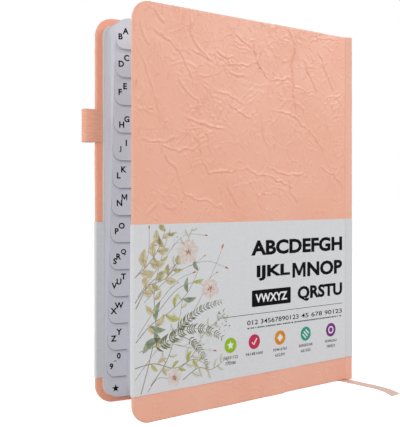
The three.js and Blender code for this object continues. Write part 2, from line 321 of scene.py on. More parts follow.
# Threads that cross over and under, along the first two axes of the vector
def makeWeave():
    tree, given, result = newGroup("weave", {"Warp": 0.3, "Weft": 0.3}, ["Height", "Tone"])
    parts = addNode(tree, "ShaderNodeSeparateXYZ", {0: given["Vector"]}).outputs
    waves = []
    for axis, pitch in enumerate(("Warp", "Weft")):
        turns = calculate(tree, "DIVIDE", parts[axis], given[pitch])
        waves.append(calculate(tree, "SINE", calculate(tree, "MULTIPLY", turns, 2 * pi)))
    fuzz = addNoise(tree, given["Vector"], 3.0, 3.0)["Fac"]
    height = calculate(tree, "MULTIPLY_ADD", calculate(tree, "MULTIPLY", *waves), 0.5, fuzz)
    feed(tree, result["Height"], height)
    feed(tree, result["Tone"], remap(tree, height, 0.1, 0.9))
    return tree


mottle, grain, fibre, weave = makeMottle(), makeGrain(), makeFibre(), makeWeave()


# Coordinates in mm: a new piece has them in its flat map, a solid of the frame in its own axes
def surfaceVector(tree, flat):
    if flat:
        return addNode(tree, "ShaderNodeUVMap", uv_map="flat").outputs["UV"]
    place = addNode(tree, "ShaderNodeTexCoord").outputs["Object"]
    return addNode(tree, "ShaderNodeVectorMath", {0: place, "Scale": 1000.0}, operation="SCALE").outputs[0]


# A colour is a node's output or three numbers, written as it looks
def blendColours(tree, mask, first, second):
    mixed = addNode(tree, "ShaderNodeMix", {"Factor": mask}, data_type="RGBA")
    sockets = [s for s in mixed.inputs if s.type == "RGBA"]
    for socket, value in zip(sockets, (first, second)):
        feed(tree, socket, colour(*value) if isinstance(value, tuple) else value)
    return [s for s in mixed.outputs if s.type == "RGBA"][0]


def startMaterial(name, flat, **constants):
    made = bpy.data.materials.new(name)
    made.use_nodes = True
    tree = made.node_tree
    shader = tree.nodes["Principled BSDF"].inputs
    for key, value in constants.items():
        shader[key.replace("_", " ")].default_value = value
    return made, tree, shader, surfaceVector(tree, flat)


def finishMaterial(made, base, height, strength, distance):
    tree = made.node_tree
    shader = tree.nodes["Principled BSDF"].inputs
    bump = addNode(tree, "ShaderNodeBump", {"Height": height, "Strength": strength, "Distance": distance})
    feed(tree, shader["Base Color"], base)
    feed(tree, shader["Normal"], bump.outputs[0])
    return made


# Cover cloth: each kind's deep and light tone, and what all kinds share
clothLook = {
    "coverCloth": ((226, 159, 133), (231, 174, 150)),
    # the turned-in cloth: deeper, more saturated tones than the cover, a painted shade for the margin inside
    # the cover
    "turnedCloth": ((234, 157, 128), (241, 168, 139)),
    # the joint strip's cloth: paler tones, a painted light that offsets the shade on the strip's turned face
    "jointCloth": ((228, 168, 144), (233, 182, 160)),
    # a paler tone along the fine folds: a painted highlight on the crease lines
    "foldTone": (241, 199, 180),
    "foldShare": 0.12,
    "specular": 0.75,
    "roughness": (0.44, 0.6),
    "grain": {"Pore": 0.55, "Fold": 6.5},
    "patch": {"Size": 48.0, "Contrast": 0.9},
    "speck": {"Size": 2.2, "Contrast": 0.7},
    "bump": 0.8,
    "relief": 0.0002,
}


def makeCloth(name):
    look = clothLook
    made, tree, shader, vector = startMaterial(name, True, Specular_IOR_Level=look["specular"])
    grained = placeGroup(tree, grain, vector, **look["grain"])
    patches = placeGroup(tree, mottle, vector, **look["patch"])
    speck = placeGroup(tree, mottle, vector, **look["speck"])
    feed(tree, shader["Roughness"], remap(tree, speck["Mask"], 0.0, 1.0, *look["roughness"]))
    base = blendColours(tree, patches["Mask"], *look[name])
    # paler tint along the fine folds: a painted highlight
    foldHighlightMask = calculate(tree, "MULTIPLY", grained["Folds"], look["foldShare"])
    tinted = blendColours(tree, foldHighlightMask, base, look["foldTone"])
    return finishMaterial(made, tinted, grained["Height"], look["bump"], look["relief"])


# Papers and board: deep and light tone, roughness, fibre size in mm, and strength of the bump
paperLooks = {
    "bandPaper": ((206, 207, 210), (213, 214, 216), 0.42, 0.9, 0.05),
    "leafPaper": ((206, 206, 215), (214, 214, 222), 0.7, 0.5, 0.12),
    "endPaper": ((218, 217, 217), (226, 225, 224), 0.75, 0.5, 0.12),
    "greyBoard": ((139, 132, 121), (168, 161, 149), 0.9, 1.1, 0.35),
}
paperRelief = 0.00006


def makePaper(name, flat, page=None):
    deep, light, rough, size, bump = paperLooks[name]
    made, tree, _, vector = startMaterial(name + ("" if flat else "Solid"), flat, Roughness=rough)
    fibres = placeGroup(tree, fibre, vector, Size=size)
    base = blendColours(tree, fibres["Tone"], deep, light)
    if page:
        base = blendColours(tree, ruledLines(tree, vector, page), base, page["ink"])
    return finishMaterial(made, base, fibres["Height"], bump, paperRelief)


# Writing lines on the leaves, in mm of the leaf
ruledPage = {
    "pitch": 7.0,
    "line": 0.22,
    "left": -133.0,
    "right": -14.0,
    "bottom": 15.0,
    "top": 199.5,
    "ink": (158, 164, 178),
}


def ruledLines(tree, vector, page):
    across, up = addNode(tree, "ShaderNodeSeparateXYZ", {0: vector}).outputs[:2]
    steps = calculate(tree, "DIVIDE", calculate(tree, "SUBTRACT", up, page["bottom"]), page["pitch"])
    away = calculate(tree, "ABSOLUTE", calculate(tree, "SUBTRACT", calculate(tree, "FRACT", steps), 0.5))
    near = calculate(tree, "GREATER_THAN", away, 0.5 - page["line"] / page["pitch"] / 2)
    for socket, low, high in ((across, page["left"], page["right"]), (up, page["bottom"] - 1, page["top"])):
        near = calculate(tree, "MULTIPLY", near, calculate(tree, "GREATER_THAN", socket, low))
        near = calculate(tree, "MULTIPLY", near, calculate(tree, "LESS_THAN", socket, high))
    return near


# Woven pieces: deep and light tone, roughness, warp and weft in mm, and strength of the bump
threadLooks = {
    "satin": ((217, 166, 146), (228, 184, 166), 0.34, 0.16, 0.42, 0.3),
    # the pen loop's elastic: brightened tones, a painted light that offsets the shade the loop lies in
    "elastic": ((236, 169, 142), (249, 188, 160), 0.8, 0.5, 0.28, 0.5),
    "headThread": ((214, 158, 137), (238, 196, 178), 0.5, 0.2, 0.9, 0.4),
    "gauze": ((176, 168, 150), (226, 219, 204), 0.9, 0.8, 0.8, 0.8),
}
threadRelief = 0.00008


def makeThreads(name, flat=True, **constants):
    deep, light, rough, warp, weft, bump = threadLooks[name]
    made, tree, _, vector = startMaterial(name, flat, Roughness=rough, **constants)
    threads = placeGroup(tree, weave, vector, Warp=warp, Weft=weft)
    base = blendColours(tree, threads["Tone"], deep, light)
    return finishMaterial(made, base, threads["Height"], bump, threadRelief)


# Printed colours, and the tabs' painted shadow: the first tone, the second tone, and how large the uneven
# patches are in mm
inks = {
    "inkBlack": ((11, 11, 13), (20, 20, 23), 3.0),
    "inkGrey": ((66, 67, 72), (80, 81, 86), 2.0),
    "inkPale": ((232, 232, 232), (222, 222, 224), 2.0),
    "discLime": ((154, 190, 44), (140, 176, 36), 4.0),
    "discCrimson": ((197, 60, 88), (181, 48, 78), 4.0),
    "discOrange": ((217, 146, 56), (203, 130, 44), 4.0),
    "discTeal": ((64, 162, 142), (52, 146, 128), 4.0),
    "discPurple": ((127, 64, 138), (112, 54, 124), 4.0),
    "washOlive": ((152, 146, 98), (198, 192, 156), 2.6),
    "washSage": ((112, 126, 104), (164, 174, 152), 3.0),
    "washLime": ((160, 164, 84), (204, 202, 148), 2.4),
    "washTan": ((180, 164, 120), (208, 200, 174), 2.4),
    "washPeach": ((206, 184, 174), (219, 214, 210), 1.7),
    "washPale": ((199, 199, 184), (207, 207, 202), 2.2),
    "washFern": ((96, 102, 76), (126, 130, 100), 2.0),
    # a painted shadow: the dark line that stands for the shade under each tab's foot
    "inkEdge": ((142, 140, 156), (158, 156, 170), 3.0),
    "washRust": ((168, 92, 66), (196, 130, 98), 1.2),
    "washStem": ((124, 118, 96), (158, 152, 132), 2.0),
    "washMist": ((196, 200, 196), (208, 209, 209), 2.0),
}


inkLook = {
    "roughness": 0.6,
    "specular": 0.03,
    "contrast": 1.5,
    "fibre": 0.8,
    "bump": 0.06,
    "relief": 0.00004,
}


def makeInk(name):
    look, (first, second, size) = inkLook, inks[name]
    made, tree, _, vector = startMaterial(name, True, Roughness=look["roughness"],
                                          Specular_IOR_Level=look["specular"])
    patches = placeGroup(tree, mottle, vector, Size=size, Contrast=look["contrast"])
    fibres = placeGroup(tree, fibre, vector, Size=look["fibre"])
    base = blendColours(tree, patches["Mask"], first, second)
    return finishMaterial(made, base, fibres["Height"], look["bump"], look["relief"])


cloth, turnedCloth, jointCloth = (makeCloth(name) for name in ("coverCloth", "turnedCloth", "jointCloth"))
bandFlat, bandSolid = makePaper("bandPaper", True), makePaper("bandPaper", False)
leafPaper, foldPaper = makePaper("leafPaper", True, ruledPage), makePaper("leafPaper", False)
endFlat, endSolid = makePaper("endPaper", True), makePaper("endPaper", False)
boardLook = makePaper("greyBoard", False)
satin = makeThreads("satin", Sheen_Weight=0.25, Sheen_Roughness=0.4)
elastic = makeThreads("elastic", Sheen_Weight=0.2)
headThread = makeThreads("headThread")
gauzeLook = makeThreads("gauze", False)
ink = {name: makeInk(name) for name in inks}
print("materials made:", len(bpy.data.materials))

# Ribbon marker: the same route on its flat sheet as its solid has, as [place along X, length from the top]
ribbon = {
    "width": 7.0,
    "thickness": 0.25,
    "selvedge": 0.06,
    "selvedgeFrom": 0.9,
    "edgeThin": 0.6,
    "top": 211.0,
    "bend": 2.6,
    "lift": 0.04,
    "slant": 4.4,
    "slantShares": (0.34, 0.67, 1.0),
    "steps": 220,
    "shares": (-1.0, -0.96, -0.88, -0.5, 0.0, 0.5, 0.88, 0.96, 1.0),
    "route": [
        [-21, 0], [-21, 22], [-21, 44], [-21, 66], [-21, 88], [-21, 110], [-21, 132],
        [-21, 152], [-20.8, 170], [-19.6, 183], [-16.6, 194], [-13, 202], [-9.5, 208],
        [-6, 213], [-2.8, 218], [-0.4, 223], [1.8, 231.5], [4.3, 241], [6, 250],
        [5.9, 258], [4, 266.4],
    ],
}


def ribbonPlace(x, length, through):
    rise = ribbon["thickness"] / 2 + ribbon["lift"]
    hanging = ribbon["top"] - rise - ribbon["bend"]
    middle = book["blockNear"] + book["blockThickness"] / 2
    turned = np.clip((length - hanging) / ribbon["bend"], 0, pi / 2)
    lying = np.maximum(length - hanging - ribbon["bend"] * pi / 2, 0)
    y = middle - ribbon["bend"] * (1 - np.cos(turned)) - lying
    z = np.where(length < hanging, ribbon["top"] - length, rise + ribbon["bend"] * (1 - np.sin(turned)))
    return closedPlace(x, y - through * np.cos(turned), z + through * np.sin(turned))


def makeRibbon():
    steps, half = ribbon["steps"], ribbon["width"] / 2
    centre = smoothRoute(ribbon["route"], steps + 1)
    alongX, alongLength = headingsAlong(centre).T
    slant = np.zeros(steps + 1)
    slant[-3:] = np.array(ribbon["slantShares"]) * ribbon["slant"] / 2  # the end is cut at a slant
    shares = np.array(ribbon["shares"])
    atEdge = np.abs(shares) > ribbon["selvedgeFrom"]
    thick = np.where(atEdge, 0.5 + ribbon["selvedge"], 0.5) * ribbon["thickness"]
    thick[[0, -1]] *= ribbon["edgeThin"]
    around = list(zip(shares, thick)) + list(zip(shares[::-1], -thick[::-1]))
    points, flat = [], []
    for side, through in around:
        x = centre[:, 0] + side * half * alongLength - side * alongX * slant
        length = centre[:, 1] - side * half * alongX - side * alongLength * slant
        points.append(ribbonPlace(x, length, through))
        flat.append(flatPlace(side * half, centre[:, 1]))
    made = makePiece("ribbonMarker", np.stack(points, 1).reshape(-1, 3), barFaces(steps + 1, len(around)),
                     [satin], np.stack(flat, 1).reshape(-1, 2), sharp=50)
    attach(made, "spine")
    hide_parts("ribbon")
    path = ribbonPlace(centre[:, 0], centre[:, 1], 0.0)
    length = float(np.linalg.norm(np.diff(path, axis=0), axis=1).sum())
    print("ribbon laid:", round(length, 4), "m")


makeRibbon()

# Floor, backdrop and lamps. The floor and the world are white where they are seen or mirrored, and light
# the book less than that. A lamp is [name, place, aim, size, power]
studio = {
    "floorSize": 14.0,
    "floorTone": (205, 205, 205),
    "floorLift": 0.8,
    "ambient": 0.46,
    "lamps": [
        ("key", (0.76, -0.47, 0.66), (0.0, 0.0, 0.12), 0.3, 4.9),
        ("fill", (-0.95, -0.68, 0.35), (0.0, 0.0, 0.1), 0.7, 6.2),
        ("rear", (-0.52, 0.88, 0.7), (0.0, 0.0, 0.1), 0.24, 3.9),
    ],
}


def seenDirectly(tree):
    path = addNode(tree, "ShaderNodeLightPath").outputs
    seen = calculate(tree, "MAXIMUM", path["Is Camera Ray"], path["Is Glossy Ray"])
    return calculate(tree, "MAXIMUM", seen, path["Is Transmission Ray"])


def makeStudio():
    scene, white = bpy.context.scene, (1.0, 1.0, 1.0, 1.0)
    scene.world = bpy.data.worlds.new("studio")
    scene.world.use_nodes = True
    tree = scene.world.node_tree
    backdrop = tree.nodes["Background"].inputs
    backdrop["Color"].default_value = white
    feed(tree, backdrop["Strength"], remap(tree, seenDirectly(tree), 0.0, 1.0, studio["ambient"], 1.0))
    floorLook, tree, shader, _ = startMaterial(
        "floorLook", False, Base_Color=colour(*studio["floorTone"]), Roughness=0.9,
        Specular_IOR_Level=0.1, Emission_Color=white)
    lifted = calculate(tree, "MULTIPLY", seenDirectly(tree), studio["floorLift"])
    feed(tree, shader["Emission Strength"], lifted)
    half = studio["floorSize"] / 2
    corners = [(x, y, 0) for x, y in boxOutline(-half, -half, half, half)]
    makePiece("floor", corners, [(0, 1, 2, 3)], [floorLook], closed=False)
    for name, place, aim, size, power in studio["lamps"]:
        data = bpy.data.lights.new(name, "AREA")
        data.size, data.energy = size, power
        made = bpy.data.objects.new(name, data)
        made.location = place
        made.rotation_euler = (Vector(aim) - Vector(place)).to_track_quat("-Z", "Y").to_euler()
        scene.collection.objects.link(made)
    scene.view_settings.view_transform = "Standard"


makeStudio()
print("camera and studio made")

# Creases of the cloth: heights and widths in mm. The front's longer ones follow the photograph, in pixels
# of its upper right part enlarged six times; the rest are scattered from a seed
creases = {
    "frontSeed": 5,
    "backSeed": 905,
    "step": 0.55,
    "corner": (85.0, 0.0),
    "enlarged": 6.0,
    "lineHeight": 0.43,
    "lineWidth": 0.52,
    "trough": 0.4,
    "drift": (0.45, 7.0),
    "bend": (2.6, 20.0),
    "swell": (0.09, 30.0),
    "nets": [
        {"cell": 21.0, "height": 0.19, "width": 0.85, "seed": 10},
        {"cell": 8.5, "height": 0.13, "width": 0.65, "seed": 20},
    ],
    "netStretch": (1.25, 0.75),
    "underBand": 0.12,
    "bandReach": (1.0, 3.0),
}
# The short ones: how many on a square of 100 mm, how high and wide, and how they run
strewn = {
    "count": 78,
    "height": 0.27,
    "width": 0.8,
    "upright": 0.7,
    "lean": 0.4,
    "bend": 0.12,
    "turn": 0.3,
    "steps": (3, 8),
    "step": (2.5, 6.0),
    "beside": (1, 4),
    "apart": (1.8, 3.0),
    "rough": 0.35,
}
readCreases = [
    [(420, 55), (445, 100), (480, 150)],
    [(640, 90), (635, 170), (660, 250), (700, 300), (740, 350), (790, 380)],
    [(385, 165), (450, 200), (520, 250), (575, 310), (610, 380), (640, 470), (655, 520)],
    [(330, 300), (370, 400), (400, 520), (440, 640), (445, 700), (440, 800), (430, 850)],
    [(1020, 230), (1010, 300), (1040, 380), (1090, 460), (1105, 482)],
    [(1270, 190), (1265, 260), (1245, 400), (1250, 520), (1255, 680)],
    [(1215, 180), (1250, 240), (1266, 262)],
    [(640, 300), (700, 330), (762, 372)],
    [(790, 300), (850, 350), (890, 330)],
    [(850, 350), (870, 390), (960, 385), (1015, 380)],
    [(860, 430), (920, 450), (980, 465)],
    [(780, 545), (850, 560), (920, 600), (960, 620)],
    [(1310, 350), (1350, 450), (1400, 560)],
    [(1105, 482), (1180, 470), (1240, 480)],
    [(560, 440), (600, 540), (680, 600), (690, 690)],
    [(330, 830), (400, 842), (440, 850), (500, 836), (560, 820)],
    [(440, 850), (500, 890), (600, 900), (650, 890)],
    [(440, 850), (480, 930), (540, 1010), (560, 1070), (600, 1160), (650, 1190), (760, 1210), (850, 1270)],
    [(490, 660), (478, 730), (470, 800)],
    [(590, 700), (680, 730), (750, 755), (850, 780)],
    [(860, 610), (920, 670), (1000, 705)],
    [(1120, 660), (1230, 675), (1290, 730), (1370, 810), (1420, 880), (1450, 940)],
    [(1070, 710), (1060, 800), (1110, 900)],
    [(920, 1020), (970, 1005), (1020, 1045), (1110, 1060), (1200, 1100), (1270, 1140)],
    [(1100, 1000), (1180, 1040), (1280, 1050), (1340, 1010)],
    [(1420, 1000), (1490, 1050), (1560, 1130)],
    [(700, 950), (740, 1030), (860, 1030), (920, 1020)],
    [(1030, 1150), (1050, 1230), (1070, 1260)],
    [(520, 1230), (535, 1290)],
    [(1220, 1060), (1240, 1160), (1280, 1220)],
    [(740, 800), (745, 910)],
    [(660, 800), (690, 890), (720, 980)],
    [(330, 120), (350, 200), (392, 262)],
    [(900, 200), (960, 250), (1010, 300)],
    [(1400, 300), (1440, 420), (1500, 560)],
    [(850, 1080), (870, 1160), (930, 1240)],
]


# A smooth random field over the cloth, about one high, from sine waves in all directions
def swells(x, z, seed, length, count=16):
    dice = np.random.default_rng(seed)
    total = np.zeros_like(x)
    for _ in range(count):
        angle, phase = dice.uniform(0, 2 * pi, 2)
        wave = 2 * pi / (length * dice.uniform(0.7, 1.7))
        total += np.sin(wave * (x * cos(angle) + z * sin(angle)) + phase)
    return total / sqrt(count / 2)


# Distance to the borders of random cells, where crumpled cloth folds
def cellBorders(x, z, seed, size):
    dice = np.random.default_rng(seed)
    first = np.full(x.shape, 1e9)
    second = first.copy()
    for column in np.arange(x.min() - size, x.max() + size, size):
        for row in np.arange(z.min() - size, z.max() + size, size):
            offset = dice.uniform(0, size, 2)
            away = np.hypot(x - column - offset[0], z - row - offset[1])
            second = np.minimum(second, np.maximum(first, away))
            first = np.minimum(first, away)
    return second - first


# A thin fold with a shallow trough along one side
def foldProfile(away, width):
    trough = creases["trough"] * np.exp(-((away - 1.9 * width) / (1.3 * width)) ** 2)
    return np.exp(-(away / width) ** 2) - trough


def foldAlong(x, z, line, width):
    line = np.asarray(line, float)
    height = np.zeros_like(x)
    (west, south), (east, north) = line.min(0) - 6 * width, line.max(0) + 6 * width
    inside = (x > west) & (x < east) & (z > south) & (z < north)
    x, z = x[inside], z[inside]
    near = np.full(x.shape, 1e9)
    signed = near.copy()
    place = np.zeros_like(x)
    lengths = np.hypot(*np.diff(line, axis=0).T)
    total = lengths.sum()
    done = 0.0
    for (ax, az), (bx, bz), length in zip(line[:-1], line[1:], lengths):
        ux, uz = (bx - ax) / length, (bz - az) / length
        s = np.clip((x - ax) * ux + (z - az) * uz, 0, length)
        away = np.hypot(x - ax - s * ux, z - az - s * uz)
        side = np.sign((x - ax) * uz - (z - az) * ux)
        closer = away < near
        near = np.where(closer, away, near)
        signed = np.where(closer, away * side, signed)
        place = np.where(closer, (done + s) / total, place)
        done += length
    taper = smoothStep(np.minimum(place, 1 - place) * 5 + 0.2)
    height[inside] = foldProfile(signed, width) * taper
    return height


# Short folds in small bundles, more of them upright than lying
def strewnLines(seed, count, low, high):
    dice = np.random.default_rng(seed)
    lines = []
    for _ in range(count):
        at = dice.uniform(low, high)
        upright = dice.random() < strewn["upright"]
        heading = pi / 2 + dice.normal(0, strewn["lean"]) if upright else dice.uniform(0, 2 * pi)
        bend = dice.normal(0, strewn["bend"])
        line = [at]
        for _ in range(dice.integers(*strewn["steps"])):
            heading += bend + dice.normal(0, strewn["turn"])
            at = at + dice.uniform(*strewn["step"]) * np.array((cos(heading), sin(heading)))
            line.append(at)
        line = np.array(line)
        across = np.array((-sin(heading), cos(heading)))
        for beside in range(dice.integers(*strewn["beside"])):
            apart = across * beside * dice.uniform(*strewn["apart"])
            moved = line + apart + dice.normal(0, strewn["rough"], line.shape)
            lines.append(moved[dice.integers(0, 2):])
    return lines


# Height of the creased cloth over its smooth face; a seed gives each piece its own creases
def clothHeight(x, z, seed, lines=()):
    shape = creases

    def moved(order, amount, length):
        shifts = [amount * swells(x, z, seed + order + axis, length) for axis in (0, 1)]
        return x + shifts[0], z + shifts[1]

    bentX, bentZ = moved(1, *shape["drift"])
    wideX, wideZ = moved(3, *shape["bend"])
    stretchX, stretchZ = shape["netStretch"]
    amount, length = shape["swell"]
    height = amount * swells(x, z, seed + 5, length)
    for net in shape["nets"]:
        gate = smoothStep(swells(x, z, seed + net["seed"], net["cell"] * 1.6) * 0.8 + 0.45)
        away = cellBorders(stretchX * wideX, stretchZ * wideZ, seed + net["seed"] + 1, net["cell"])
        height += net["height"] * gate * foldProfile(away, net["width"])
    for line in lines:
        height += shape["lineHeight"] * foldAlong(bentX, bentZ, line, shape["lineWidth"])
    dice = np.random.default_rng(seed + 60)
    count = int(strewn["count"] * np.ptp(x) * np.ptp(z) / 1e4)
    width = shape["lineWidth"] * strewn["width"]
    for line in strewnLines(seed + 40, count, (x.min(), z.min()), (x.max(), z.max())):
        amount = strewn["height"] * dice.uniform(0.25, 1.0)
        height += amount * foldAlong(bentX, bentZ, line, width)
    return height


# The band presses the cloth flat where it lies on it
def pressed(z):
    beside, over = creases["bandReach"]
    above = smoothStep((z - book["bandBottom"] + beside) / over)
    inside = above * smoothStep((book["bandTop"] + beside - z) / over)
    return 1 - (1 - creases["underBand"]) * inside


# One cover in its cloth: face, rounded edges, turned-in margin, and the pocket for the board
cover = {
    "rounding": 0.75,
    "clothThickness": 0.45,
    "edge": -0.02,
    "turnIn": [2.5, 4.5, 8.0, 12.0, 16.0],
    "turnInEdge": 0.35,
    "pocketRim": 0.9,
    "pocketEdge": (-1.75, -2.0, -2.1, -2.1, -2.2),
    "fineFrom": -3.2,
    "fineStep": 0.4,
    "calm": 0.85,
    "calmFrom": -4.0,
    "calmOver": 3.5,
    "grooveDip": 0.1,
    "grooveWidth": 1.2,
    "footRamp": (-53.0, -50.0),
    "footSlope": 8.0,
}


# A place on a cover, from shares of its width and height, with its corners rounded and its foot raised
def coverPlace(a, b, inset, right):
    left, low = -book["width"] + inset, inset
    high = book["height"] - inset
    x = left + a * (right - left)
    z = low + b * (high - low)
    radius = max(book["corner"] - inset, 0.4)
    for middle, way in ((low + radius, -1), (high - radius, 1)):
        u, v = (left + radius - x) / radius, way * (z - middle) / radius
        corner = (u > 0) & (v > 0)
        scale = np.maximum(u, v) / np.maximum(np.hypot(u, v), 1e-9)
        x = np.where(corner, left + radius - u * scale * radius, x)
        z = np.where(corner, middle + way * v * scale * radius, z)
    start, end = cover["footRamp"]
    raised = book["footGap"] * smoothStep((x - start) / (end - start))
    return x, z + raised * (1 - np.clip((z - low) / cover["footSlope"], 0, 1))


# The rings that close the face behind, each
# [inset, depth, right edge, how it follows the creases in depth and sideways, and by which share]
def coverRings():
    rounding, tray, edge = cover["rounding"], book["trayDepth"], cover["edge"]
    thick, back, last = cover["clothThickness"], cover["turnInEdge"], cover["turnIn"][-1]
    turns = [(cos(radians(angle)), sin(radians(angle))) for angle in (0.0, 22.5, 45.0, 67.5, 90.0)]
    rings = [(rounding * (1 - s), rounding * (1 - c), edge, (c, s), 1 - 0.3 * s) for c, s in turns[1:]]
    rings.append((0.0, tray / 2, edge, (0, 1), 0.45))
    for c, s in turns:
        rings.append((rounding * (1 - c), tray - rounding * (1 - s), edge - 0.1 * s, (-s, c), 0.3 * c))
    for i, inset in enumerate(cover["turnIn"]):
        rings.append((inset, tray, -back - back * i, (0, 0), 0.0))
    inner = tray - thick + 0.1
    pocket = ((last, inner), (cover["pocketRim"], inner), (thick, tray - rounding), (thick, rounding),
              (rounding, thick))
    for (inset, depth), right in zip(pocket, cover["pocketEdge"]):
        rings.append((inset, depth, right, (0, 0), 0.0))
    return rings


def makeCover(name, body, toFrame, heights, nodes):
    step, edge, fine = creases["step"], cover["edge"], cover["fineFrom"]
    columns = np.concatenate((np.arange(-book["width"], fine - 0.1, step),
                              np.arange(fine, 0.01, cover["fineStep"])))
    a = (columns + book["width"]) / book["width"]
    b = np.linspace(0, 1, int(book["height"] / step) + 1)
    gridA, gridB = (g.ravel() for g in np.meshgrid(a, b, indexing="ij"))
    nA, nB = len(a), len(b)
    rim = [i * nB for i in range(nA)] + [(nA - 1) * nB + j for j in range(1, nB)]
    rim += [i * nB + nB - 1 for i in range(nA - 2, -1, -1)] + [j for j in range(nB - 2, 0, -1)]
    rimA, rimB, around = gridA[rim], gridB[rim], len(rim)

    def dipped(x, depth):
        share = np.clip(1 - depth / book["trayDepth"], 0, 1)
        return depth + cover["grooveDip"] * share * smoothStep(x / cover["grooveWidth"] + 1)

    x, z = coverPlace(gridA, gridB, cover["rounding"], edge)
    lift = heights(x, z) * (1 - cover["calm"] * smoothStep((x - cover["calmFrom"]) / cover["calmOver"]))
    points, flat = [toFrame(x, dipped(x, 0.0) - lift, z)], [flatPlace(x, z)]
    away = np.array(coverPlace(rimA, rimB, 0.0, edge)) - np.array(coverPlace(rimA, rimB, 1.0, edge))
    reach = np.maximum(np.hypot(*away), 1e-9)
    awayX, awayZ = np.where(reach > 0.5, away / reach, 0)
    travel, lastInset, lastDepth = 0.0, cover["rounding"], 0.0
    faces = gridFaces(nA, nB)
    looks = [0] * len(faces)
    before = rim
    for i, (inset, depth, right, (deepPart, sidePart), share) in enumerate(coverRings()):
        rx, rz = coverPlace(rimA, rimB, inset, right)
        push = lift[rim] * share
        rx, rz = rx + awayX * push * sidePart, rz + awayZ * push * sidePart
        points.append(toFrame(rx, dipped(rx, depth) - push * deepPart, rz))
        travel += hypot(inset - lastInset, depth - lastDepth)
        lastInset, lastDepth = inset, depth
        flat.append(flatPlace(x[rim] + awayX * travel, z[rim] + awayZ * travel))
        ring = range(nA * nB + i * around, nA * nB + (i + 1) * around)
        for k in range(around):
            after = (k + 1) % around
            faces.append((before[k], before[after], ring[after], ring[k]))
        looks += [int(i > 5)] * around  # from the back edge on, the turned cloth
        before = ring
    faces.append(tuple(before))
    looks.append(1)
    made = makePiece(name, np.vstack(points), faces, [cloth, turnedCloth], np.vstack(flat), looks, sharp=50)
    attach(made, body)
    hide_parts(*nodes)


def onPhoto(px, py):
    (left, top), times = creases["corner"], creases["enlarged"]
    return fromPhoto(left + px / times, top + py / times)


frontLines = [[onPhoto(px, py) for px, py in line] for line in readCreases]
makeCover("frontCoverCloth", "front_cover", frontPlace,
          lambda x, z: clothHeight(x, z, creases["frontSeed"], frontLines) * pressed(z), ["front_cloth"])
makeCover("backCoverCloth", "back_cover", backPlace,
          lambda x, z: clothHeight(x, z, creases["backSeed"]) * pressed(z), ["back_cloth"])
print("covers wrapped in cloth")

# Skin over one joint strip and half the spine: from the groove, over the shoulder, to the spine's middle
shoulder = {
    "radius": 0.45,
    "clothThickness": 0.45,
    "bandLift": 0.1,
    "bandThickness": 0.2,
    "spineStep": 0.9,
    "heightStep": 0.9,
    "stripTurn": -101.0,
    "clothStart": [(0.08, 1.2), (0.06, 0.7), (0.14, 0.38), (0.36, 0.17), (0.75, 0.04)],
    "bandStart": [(-0.9, 0.02), (-0.45, 0.04), (0.0, 0.03), (0.45, -0.03), (0.8, -0.1)],
    "edgeEase": (0.0, 0.12, 0.35),
    "edgeShrink": (0.5, 0.15),
    "innerInset": 0.02,
    "flatShift": 3.0,
    "creased": (2.0, 13.1, 15.6),
    "creaseShare": 0.55,
    "bendsFrom": (4.0, -0.6),
    "bendsTo": (5.05, 0.6),
}


# Points along the skin's outer face in X and depth, at an offset from the shoulder's own line
def shoulderPath(offset, start):
    pivot = np.array((book["jointWidth"], -book["shoulderRise"]))
    first = radians(shoulder["stripTurn"])
    arc = [pivot + offset * np.array((cos(t), sin(t))) for t in np.linspace(first, 0, 9)]
    last = np.array(start[-1])
    path = list(start) + [last + (arc[0] - last) * s for s in (0.15, 0.3, 0.45, 0.6, 0.75, 0.9)] + arc
    middle = book["thickness"] / 2
    depths = np.arange(0.5, middle, shoulder["spineStep"])
    path += [(pivot[0] + offset, d) for d in depths] + [(pivot[0] + offset, middle)]
    return np.asarray(path, float)


def makeShoulder(name, side, path, thickness, low, high, lift, material, nodes):
    shape = shoulder
    toFrame = closedPlace if side == "front" else backPlace
    normal, travel = normalsAlong(path), lengthsAlong(path)
    ease = np.array(shape["edgeEase"]) * thickness / shape["clothThickness"]
    between = np.linspace(low + 1.0, high - 1.0, int((high - low) / shape["heightStep"]))
    levels = np.concatenate((low + ease, between, high - ease[::-1]))
    shrink = np.zeros(len(levels))
    for i, share in enumerate(shape["edgeShrink"]):
        shrink[[i, -1 - i]] = share * thickness
    rows, columns = len(levels), len(path)
    across, up = np.meshgrid(travel, levels, indexing="ij")
    raised = lift(across, up) - shrink[None, :]
    outer = path[:, None, :] + normal[:, None, :] * raised[:, :, None]
    inner = path - normal * thickness
    points = [toFrame(outer[..., 0].ravel(), outer[..., 1].ravel(), up.ravel())]
    flat = [flatPlace(across.ravel() + shape["flatShift"], up.ravel())]
    for level in (low + shape["innerInset"], high - shape["innerInset"]):
        points.append(toFrame(inner[:, 0], inner[:, 1], level))
        flat.append(flatPlace(travel, level))
    base = rows * columns
    faces = gridFaces(columns, rows)
    for i in range(columns - 1):
        lowA, highA = base + i, base + columns + i
        faces += [(lowA, lowA + 1, highA + 1, highA), (lowA, lowA + 1, (i + 1) * rows, i * rows),
                  (highA, highA + 1, (i + 2) * rows - 1, (i + 1) * rows - 1)]
    for i in (0, columns - 1):
        faces.append(tuple(range(i * rows, (i + 1) * rows)) + (base + columns + i, base + i))
    made = makePiece(name, np.vstack(points), faces, [material], np.vstack(flat), sharp=50)
    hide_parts(*nodes)
    start, end = (tuple(toFrame(x, depth, 0.0)) for x, depth in (shape["bendsFrom"], shape["bendsTo"]))
    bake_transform(made)


